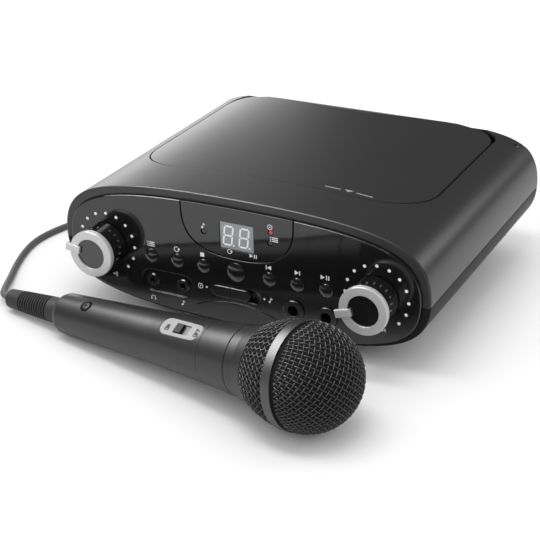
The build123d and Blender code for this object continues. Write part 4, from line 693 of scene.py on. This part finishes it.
def printed(name, shapes, to_frame, body, look):
    """Thin plates from closed outlines. to_frame places an outline's point and its lift."""
    points, faces = [], []
    for outline in shapes:
        area = sum(x0 * z1 - x1 * z0 for (x0, z0), (x1, z1)
                   in zip(outline, outline[1:] + outline[:1]))
        outline = outline if area > 0 else outline[::-1]
        first, count = len(points), len(outline)
        points += [to_frame(x, z, INK_T) for x, z in outline]
        points += [to_frame(x, z, 0.0) for x, z in outline]
        faces.append(list(range(first, first + count)))
        faces.append(list(range(first + 2 * count - 1, first + count - 1, -1)))
        for i in range(count):
            j = (i + 1) % count
            faces.append([first + j, first + i, first + count + i, first + count + j])
    mesh = bpy.data.meshes.new(name)
    mesh.from_pydata(points, [], faces)
    mesh.materials.append(look)
    mesh.update()
    set_piece(name, mesh, body)


def on_panel(x, z, lift):
    """Place on the front of the panel, which faces -Y."""
    return place(x, -lift - INK_CLEAR, z)


print("ink", INK_T, "mm thick")

# %% [markdown]
# A knob's scale is thirteen dots over three quarters of a turn. They repeat, so a node tree
# sets them out from the knob's size and one dot's radius.

# %% Dots round the knobs
DOTS, DOT_STEP, DOT_SIDES = 13, radians(22.5), 20
dots_tree, sizes_in, shape_out = new_tree("dot_scale", Circle=0.0184, Dot=0.00095, Ink=0.00005)
size = sizes_in.outputs
line = step(dots_tree, "GeometryNodeMeshLine", mode="OFFSET")
line.inputs["Count"].default_value = DOTS
line.inputs["Offset"].default_value = (0, 0, 0)
number = step(dots_tree, "GeometryNodeInputIndex").outputs[0]
from_top = calc(dots_tree, "SUBTRACT", number, (DOTS - 1) / 2)
turn_now = calc(dots_tree, "MULTIPLY", from_top, DOT_STEP)
spot = step(dots_tree, "ShaderNodeCombineXYZ")
join(dots_tree, calc(dots_tree, "MULTIPLY", size["Circle"], calc(dots_tree, "SINE", turn_now)),
     spot.inputs["X"])
join(dots_tree, calc(dots_tree, "MULTIPLY", size["Circle"],
                     calc(dots_tree, "COSINE", turn_now)), spot.inputs["Y"])
spread = step(dots_tree, "GeometryNodeSetPosition")
join(dots_tree, line.outputs[0], spread.inputs["Geometry"])
join(dots_tree, spot.outputs[0], spread.inputs["Position"])
drop = step(dots_tree, "GeometryNodeMeshCylinder", fill_type="NGON")
drop.inputs["Vertices"].default_value = DOT_SIDES
join(dots_tree, size["Dot"], drop.inputs["Radius"])
join(dots_tree, size["Ink"], drop.inputs["Depth"])
set_out = step(dots_tree, "GeometryNodeInstanceOnPoints")
join(dots_tree, spread.outputs[0], set_out.inputs["Points"])
join(dots_tree, drop.outputs[0], set_out.inputs["Instance"])
join(dots_tree, dressed(dots_tree, set_out.outputs[0], size["Finish"]), shape_out.inputs[0])

KNOB_X, KNOB_Z = 85.0, 42.9
DOTS_OUT = 0.03     # middle of the dots' thickness, in front of the panel
stand_up = Matrix.Rotation(radians(90), 4, "X")
for side, name in ((-1, "echo_dots"), (1, "volume_dots")):
    dots_place = Matrix.Translation(place(side * KNOB_X, -DOTS_OUT, KNOB_Z)) @ stand_up
    bake(name, dots_tree, dots_place, "machine", ink)

# %% [markdown]
# The other signs are the usual ones for players: a square to stop, triangles and bars to skip
# and to play, a loop to repeat, a short list for a programme, headphones, a note for the
# auxiliary input, and growing arcs for the two knobs.

# %% Signs over the buttons
signs = grow([bar(-22.5, 46.2, -20.5, 48.2)], -21.5, 46.6, 1.25)
back_sign = [bar(19.1, 46.2, 19.5, 48.4), [(21.8, 46.2), (21.8, 48.4), (19.7, 47.3)]]
on_sign = [bar(39.1, 46.6, 39.5, 48.8), [(36.8, 46.6), (38.9, 47.7), (36.8, 48.8)]]
play_sign = [[(52.6, 47.0), (54.6, 48.1), (52.6, 49.2)], bar(55.3, 47.0, 55.8, 49.2),
             bar(56.4, 47.0, 56.9, 49.2)]
signs += grow(back_sign, 20.5, 46.6, 1.2) + grow(on_sign, 38.1, 47.0, 1.2)
signs += grow(play_sign, 54.8, 47.4, 1.2)


def list_rows(x, z, wide, pitch, thick):
    """Three lines of a list, each led by a dot, from the lower left corner."""
    rows = []
    for row in range(3):
        low = z + row * pitch
        rows += [bar(x, low, x + 0.5, low + thick), bar(x + 0.9, low, x + wide, low + thick)]
    return rows


signs += grow(list_rows(-57.0, 46.3, 3.6, 0.85, 0.4), -55.2, 46.6, 1.35)
# a loop with an arrow head
loop = stroke(arc_points(-38.3, 47.2, 1.1, 60, 360, 14), 0.32)
loop += [[(-37.9, 47.2), (-36.5, 47.2), (-37.2, 48.1)]]
signs += grow(loop, -38.3, 46.6, 1.35)
print(len(signs), "shapes over the buttons")

# %% [markdown]
# The slide switch chooses between the disc and the auxiliary input, so it has a disc at one end
# and a note at the other. The two small sockets below take headphones and the same input.

# %% Signs of the switch, the sockets and the knobs
signs += [disc(-19.6, 27.4, 0.6), disc(17.3, 27.4, 0.6)]
disc_sign = stroke(arc_points(-23.6, 27.4, 1.25, 0, 360, 20), 0.32) + [disc(-23.6, 27.4, 0.35)]
signs += grow(disc_sign, -23.6, 27.4, 1.2)


def note(x, z):
    """Note with one flag."""
    return [disc(x - 0.5, z - 0.9, 0.5), bar(x - 0.15, z - 0.9, x + 0.1, z + 1.3),
            [(x - 0.15, z + 0.7), (x + 0.9, z + 0.3), (x + 0.9, z + 0.8), (x - 0.15, z + 1.3)]]


signs += grow(note(21.2, 27.4), 21.2, 27.4, 1.2) + grow(note(-35.8, 13.8), -35.8, 13.8, 1.25)
# the headphones' band and its two cups
signs += stroke(arc_points(-55.9, 13.2, 1.35, 0, 180, 14), 0.34)
signs += [bar(-57.5, 12.0, -56.8, 13.3), bar(-55.0, 12.0, -54.3, 13.3)]


def loudspeaker(x, z):
    """Loudspeaker with two waves, for the volume."""
    return ([bar(x - 1.6, z - 0.45, x - 0.9, z + 0.45),
             [(x - 0.9, z - 0.45), (x - 0.1, z - 1.1), (x - 0.1, z + 1.1), (x - 0.9, z + 0.45)]]
            + stroke(arc_points(x - 0.1, z, 0.8, -45, 45, 6), 0.28)
            + stroke(arc_points(x - 0.1, z, 1.5, -45, 45, 8), 0.28))


def echoes(x, z):
    """Dot with three waves that spread, for the echo."""
    made = [disc(x - 1.4, z, 0.4)]
    for ring in (0.9, 1.7, 2.5):
        made += stroke(arc_points(x - 1.4, z, ring, -40, 40, 8), 0.28)
    return made


signs += echoes(-81.0, 23.4) + loudspeaker(89.0, 24.1)
printed("panel_signs", signs, on_panel, "machine", ink)

# %% [markdown]
# Beside the display are three lamps with their signs, a note, a disc and a list. Below it, a
# loop and a play triangle stand where the real window has words. They are drawn a little
# larger than words would be, so that they can still be told apart from across a table.

# %% Signs in the window
window_signs = grow(note(-20.0, 65.3), -20.0, 64.6, 1.25)
disc_sign = stroke(arc_points(21.9, 72.0, 1.2, 0, 360, 20), 0.3) + [disc(21.9, 72.0, 0.35)]
window_signs += grow(disc_sign, 21.9, 71.2, 1.15)
window_signs += grow(list_rows(22.4, 64.0, 3.8, 0.8, 0.38), 24.3, 64.8, 1.3)
loop = stroke(arc_points(-3.7, 52.6, 0.95, 60, 360, 14), 0.3)
loop += [[(-3.3, 52.6), (-2.0, 52.6), (-2.7, 53.4)]]
start = [[(9.4, 51.6), (11.0, 52.5), (9.4, 53.4)], bar(11.5, 51.6, 11.9, 53.4),
         bar(12.4, 51.6, 12.8, 53.4)]
window_signs += grow(loop, -3.5, 52.6, 1.3) + grow(start, 11.1, 52.5, 1.3)
printed("window_signs", window_signs, on_panel, "machine", ink)

# %% [markdown]
# The microphone's switch plate says ON and OFF, as such plates do, in strokes cut into its
# paint. The letters follow the plate, which looks out at an angle between the top and the
# front. Strokes on a grid of one by two are enough for four letters, and no font is needed.

# %% Switch words
SWITCH_S, SWITCH_TURN = 76.8, radians(28.5)     # place along the axis, and turn to the front
PLATE_OUT = 15.28                               # the plate's face, from the axis
LETTER_TALL, LETTER_WIDE, LETTER_PITCH, LETTER_STROKE = 1.15, 1.25, 1.9, 0.34
LETTERS = {
    "O": [(0, 0), (1, 0), (1, 2), (0, 2), (0, 0)],
    "N": [(0, 0), (0, 2), (1, 0), (1, 2)],
    "F": [(0, 0), (0, 2), (1, 2), (0, 2), (0, 1.1), (0.8, 1.1)],
}


def on_plate(x, z, lift):
    """x runs to the handle's tail, z up across the plate, both from the switch's centre."""
    out = above * cos(SWITCH_TURN) - beside * sin(SWITCH_TURN)
    across = along.cross(out)
    spot = head + along * (SWITCH_S + x) + out * (PLATE_OUT + lift) + across * -z
    return place(*spot)


words = []
for word, start in (("ON", 8.6), ("OFF", -11.6)):
    for i, letter in enumerate(word):
        top_left = 2.4 - i * LETTER_PITCH
        spots = [(start + b * LETTER_TALL, top_left - a * LETTER_WIDE)
                 for a, b in LETTERS[letter]]
        words += stroke(spots, LETTER_STROKE)
printed("switch_words", words, on_plate, "machine", shade_ink)

# %% [markdown]
# A screw's head is turned on a lathe, and here it is a profile turned about an axis. Its first
# and last points lie on the axis, so the doubles there are merged and the poles are closed
# before the normals are made to face out.


# %% Turned shapes
def turned_mesh(name, profile, origin, axis, sides, body, look):
    """Closed ring surface from (radius, height) points turned about an axis through origin."""
    one = axis.orthogonal().normalized()
    two = axis.cross(one)
    points, faces = [], []
    for k in range(sides):
        round_by = 2 * pi * k / sides
        way = one * cos(round_by) + two * sin(round_by)
        points += [origin + (way * r + axis * h) / 1000 for r, h in profile]
    count = len(profile)
    for k in range(sides):
        j = (k + 1) % sides
        for i in range(count - 1):
            a, b = k * count + i, j * count + i
            faces.append((a, b, b + 1, a + 1))
    mesh = bpy.data.meshes.new(name)
    mesh.from_pydata(points, [], faces)
    welder = bmesh.new()
    welder.from_mesh(mesh)
    bmesh.ops.remove_doubles(welder, verts=welder.verts, dist=1e-7)
    bmesh.ops.dissolve_degenerate(welder, edges=welder.edges, dist=1e-7)
    bmesh.ops.recalc_face_normals(welder, faces=welder.faces)
    welder.to_mesh(mesh)
    welder.free()
    mesh.shade_smooth()
    mesh.materials.append(look)
    set_piece(name, mesh, body)


print("turning helper ready")

# %% [markdown]
# The screw holds the handle on its stem. It sits in a dark well, with a cross in its head. The
# well is a broad ring of painted shadow laid on the handle's skin, and the cross is painted
# shade, a flat dark shape on the head, because at this size neither shows any depth.

# %% Screw of the handle
SCREW_S, SCREW_TURN, SCREW_OUT = 151.5, radians(26), 12.85
SCREW_RISE, SCREW_SIDES = 0.30, 28
HANDLE_TAPER = 0.038        # loss of radius for each millimetre towards the tail
WELL_R, WELL_WIDE = 3.1, 1.4
screw_out = above * cos(SCREW_TURN) - beside * sin(SCREW_TURN)
screw_paint = finish("screw_plate", (0.045, 0.045, 0.045), 0.5, 1500, metal=0.3, specular=0.3)
screw_round = along.cross(screw_out)
head_profile = [(0, SCREW_RISE), (1.9, 0.26), (2.35, 0.05), (2.4, -0.8), (0, -0.8)]
turned_mesh("handle_screw", head_profile, on_axis(SCREW_S, SCREW_OUT, SCREW_TURN), screw_out,
            SCREW_SIDES, "machine", screw_paint)


def on_handle(x, z, lift):
    """Place on the handle's skin beside the screw, x along it and z round it."""
    return on_axis(SCREW_S + x, SCREW_OUT - HANDLE_TAPER * x + lift, SCREW_TURN + z / SCREW_OUT)


def on_screw(x, z, lift):
    """Place on the flat of the screw's head."""
    middle = on_axis(SCREW_S + x, SCREW_OUT + SCREW_RISE + lift, SCREW_TURN)
    return middle + screw_round * z / 1000


# The well and the cross are painted shade, dark shapes that stand for depth.
well = stroke(arc_points(0, 0, WELL_R, 0, 360, SCREW_SIDES), WELL_WIDE)
printed("screw_well", well, on_handle, "machine", shade_ink)
cross = [bar(-1.6, -0.28, 1.6, 0.28), bar(-0.28, -1.6, 0.28, -0.28), bar(-0.28, 0.28, 0.28, 1.6)]
printed("screw_cross", cross, on_screw, "machine", shade_ink)

# %% [markdown]
# The display shows two unlit figures, seven pale bars and a dot each, on a grey field. The
# bars lean a little and have pointed ends, as they do on every such display.

# %% Display figures
SEGMENT, SEGMENT_GAP = 1.05, 0.35       # width of a bar, and the gap between the ends of two
FIGURE_WIDE, FIGURE_HALF, LEAN = 5.2, 5.6, 0.12
POINT_AWAY, POINT_R = 1.35, 0.6         # the dot beside each figure
DISPLAY_IN = 0.345                      # face of the display, behind the front of the panel


def segment(x, z, length, upright):
    """One pointed bar of a figure, centred at x, z."""
    h, w = length / 2, SEGMENT / 2
    shape = [(-h, 0), (-h + w, -w), (h - w, -w), (h, 0), (h - w, w), (-h + w, w)]
    if upright:
        shape = [(b, a) for a, b in shape]
    return [(x + a, z + b) for a, b in shape]


def figure(x, z):
    """Seven bars and a dot, centred at x, z, leaning to the right."""
    spots = [(0, FIGURE_HALF, False), (0, 0, False), (0, -FIGURE_HALF, False)]
    spots += [(side * FIGURE_WIDE / 2, part * FIGURE_HALF / 2, True)
              for side in (-1, 1) for part in (-1, 1)]
    made = [segment(x + a, z + b, (FIGURE_HALF if up else FIGURE_WIDE) - SEGMENT_GAP, up)
            for a, b, up in spots]
    made.append(disc(x + FIGURE_WIDE / 2 + POINT_AWAY, z - FIGURE_HALF, POINT_R))
    return [[(a + (b - z) * LEAN, b) for a, b in shape] for shape in made]


def on_display(x, z, lift):
    """Place on the face of the display."""
    return place(x, DISPLAY_IN - lift, z)


display_ink = finish("display_bars", (0.88, 0.90, 0.89), 0.5, 1500, edge=0, shift=0.03)
printed("display_figures", figure(-4.4, 62.1) + figure(5.5, 62.1), on_display, "machine",
        display_ink)

# %% [markdown]
# The lamp for the disc is lit, a small red dot that gives a little light of its own. Near the
# foot of the panel is a fine curved groove. It is cut in the solid, and a strip of painted shade
# on its floor gives it the depth that so narrow a groove loses under soft light.

# %% Lit lamp and arch line
LAMP_LENS_IN, ARCH_IN = 0.3, 0.4        # behind the front of the panel
ARCH_Z, ARCH_R, ARCH_LINE = -40.4, 61.7, 0.45
lamp = finish("red_lamp", (0.50, 0.05, 0.07), 0.3, 1500, edge=0)
glow = lamp.node_tree.nodes["Principled BSDF"]
glow.inputs["Emission Color"].default_value = (1, 0.08, 0.1, 1)
glow.inputs["Emission Strength"].default_value = 0.12


def on_lamp(x, z, lift):
    """Place on the lens of a lamp, with twice the ink's thickness."""
    return place(x, LAMP_LENS_IN - 2 * lift, z)


def on_arch(x, z, lift):
    """Place just over the floor of the groove."""
    return place(x, ARCH_IN - lift, z)


printed("disc_lamp", [disc(22.3, 68.9, 1.25)], on_lamp, "machine", lamp)
# The arch line is painted shade along the floor of the groove.
arch = stroke(arc_points(0, ARCH_Z, ARCH_R, 64.5, 115.5, 40), ARCH_LINE)
printed("arch_line", arch, on_arch, "machine", shade_ink)

# %% [markdown]
# The place where the lid is pushed to open it is marked by a triangle between two bars. The
# mark has to follow the lid, which is the crown of the case: across its width, a quarter of the
# section is one cubic curve, with its two handles at the same share of the width and the rise.

# %% Push mark on the lid
CROWN_HALF, CROWN_RISE, CROWN_Z = 115.1, 38.9, 44.65    # half width, rise, height of the sides
SQUARENESS = 3.0        # 2 is an ellipse, more is squarer
MARK_CLEAR = 0.03       # gap between the lid and the back of the ink
corner = 0.5 ** (1 / SQUARENESS)
handle_share = (8 * corner - 4) / 3


def on_lid(x, y, lift):
    """A point of the drawing's plan, on top of the lid's gentle crown."""
    t = 0.0
    for _ in range(40):     # closes in on the point of the curve that is above x
        across = CROWN_HALF * (3 * (1 - t) ** 2 * t * handle_share
                               + 3 * (1 - t) * t * t + t ** 3)
        t += (abs(x) - across) / 400
    rise = CROWN_RISE * ((1 - t) ** 3 + 3 * (1 - t) ** 2 * t
                         + 3 * (1 - t) * t * t * handle_share)
    return place(x, y, CROWN_Z + rise + lift + MARK_CLEAR)


print("lid height at the push mark", round(on_lid(48, 40, 0)[2] * 1000, 2))
push = [[(47.3, 42.6), (52.9, 42.6), (50.1, 39.6)], bar(35.6, 40.6, 45.4, 41.6),
        bar(54.8, 40.6, 64.6, 41.6)]
printed("push_mark", push, on_lid, "lid", faint_ink)

# %% [markdown]
# ## The studio
# The machine stands on a large sheet of white paper. A slight tooth in the paper keeps its
# shadow from looking like a flat stain, and the sheet goes on far behind the machine, so that
# no edge of it is seen.

# %% Floor
PAPER, PAPER_ROUGH = (0.93, 0.93, 0.93, 1), 0.9
PAPER_GRAIN, PAPER_TOOTH = 60, 0.0001
FLOOR_HALF = 4
paper = bpy.data.materials.new("paper")
paper.use_nodes = True
tree = paper.node_tree
shader = tree.nodes["Principled BSDF"]
shader.inputs["Roughness"].default_value = PAPER_ROUGH
shader.inputs["Base Color"].default_value = PAPER
grain = tree.nodes.new("ShaderNodeTexNoise")
grain.inputs["Scale"].default_value = PAPER_GRAIN
spot = tree.nodes.new("ShaderNodeTexCoord")
tree.links.new(spot.outputs["Object"], grain.inputs["Vector"])
tooth = tree.nodes.new("ShaderNodeBump")
tooth.inputs["Distance"].default_value = PAPER_TOOTH
tree.links.new(grain.outputs["Fac"], tooth.inputs["Height"])
tree.links.new(tooth.outputs["Normal"], shader.inputs["Normal"])

floor_mesh = bpy.data.meshes.new("floor")
floor_mesh.from_pydata([(x * FLOOR_HALF, y * FLOOR_HALF, 0)
                        for x, y in ((-1, -1), (1, -1), (1, 1), (-1, 1))], [], [(0, 1, 2, 3)])
floor_mesh.materials.append(paper)
floor = bpy.data.objects.new("floor", floor_mesh)
bpy.context.scene.collection.objects.link(floor)
print("floor", 2 * FLOOR_HALF, "m wide")

# %% [markdown]
# The surroundings are three things at once. They light the machine evenly from all sides, they
# are nearly black where they are mirrored, so that polished plastic stays dark, and they are
# plain white to the camera. A Light Path node tells which ray is asking.

# %% Surroundings
world = bpy.data.worlds.new("studio")
bpy.context.scene.world = world
world.use_nodes = True
tree = world.node_tree
around = tree.nodes["Background"]
around.inputs["Color"].default_value = (0.92, 0.92, 0.925, 1)
around.inputs["Strength"].default_value = 1.0
mirrored = tree.nodes.new("ShaderNodeBackground")
mirrored.inputs["Color"].default_value = (0.07, 0.07, 0.07, 1)
white = tree.nodes.new("ShaderNodeBackground")
white.inputs["Strength"].default_value = 1.0
rays = tree.nodes.new("ShaderNodeLightPath")
by_gloss = tree.nodes.new("ShaderNodeMixShader")
by_eye = tree.nodes.new("ShaderNodeMixShader")
tree.links.new(rays.outputs["Is Glossy Ray"], by_gloss.inputs["Fac"])
tree.links.new(around.outputs[0], by_gloss.inputs[1])
tree.links.new(mirrored.outputs[0], by_gloss.inputs[2])
tree.links.new(rays.outputs["Is Camera Ray"], by_eye.inputs["Fac"])
tree.links.new(by_gloss.outputs[0], by_eye.inputs[1])
tree.links.new(white.outputs[0], by_eye.inputs[2])
tree.links.new(by_eye.outputs[0], tree.nodes["World Output"].inputs["Surface"])
print("surroundings ready")

# %% [markdown]
# A black product is drawn by what it reflects. A wide low lamp behind on the left lays the pale
# bloom on the lid's far corner, a small one behind on the right picks out the edges there, and
# one overhead lifts the top. A long strip on the left draws the bright line along the handle.
# It is seen only in polish and paint, because one more soft shadow would muddy the floor.


# %% Lamps
def soft_lamp(name, spot, target, wide, tall, watts):
    """Rectangular lamp at spot, aimed at target."""
    data = bpy.data.lights.new(name, "AREA")
    data.shape = "RECTANGLE"
    data.size, data.size_y = wide, tall
    data.energy = watts
    made = bpy.data.objects.new(name, data)
    made.location = spot
    made.rotation_euler = (Vector(target) - Vector(spot)).to_track_quat("-Z", "Y").to_euler()
    bpy.context.scene.collection.objects.link(made)
    return made


soft_lamp("back_left", (-1.66, 2.07, 0.31), (-0.06, 0, 0.07), 1.2, 0.71, 8.4)
soft_lamp("back_right", (0.85, 1.05, 0.55), (0.1, 0, 0.05), 0.4, 0.4, 2)
soft_lamp("overhead", (-0.05, -0.20, 1.15), (-0.05, -0.05, 0.03), 0.8, 0.26, 4)
strip = soft_lamp("strip", (-0.376, -0.218, 0.628), (-0.05, -0.1, 0.02), 0.86, 0.48, 16)
strip.visible_diffuse = False
bpy.context.scene.view_settings.view_transform = "Standard"
print(len(bpy.data.lights), "lamps")

# %% [markdown]
# ## Last update
# The view layer is brought up to date once every piece is in place.

# %% Update the view layer
bpy.context.view_layer.update()
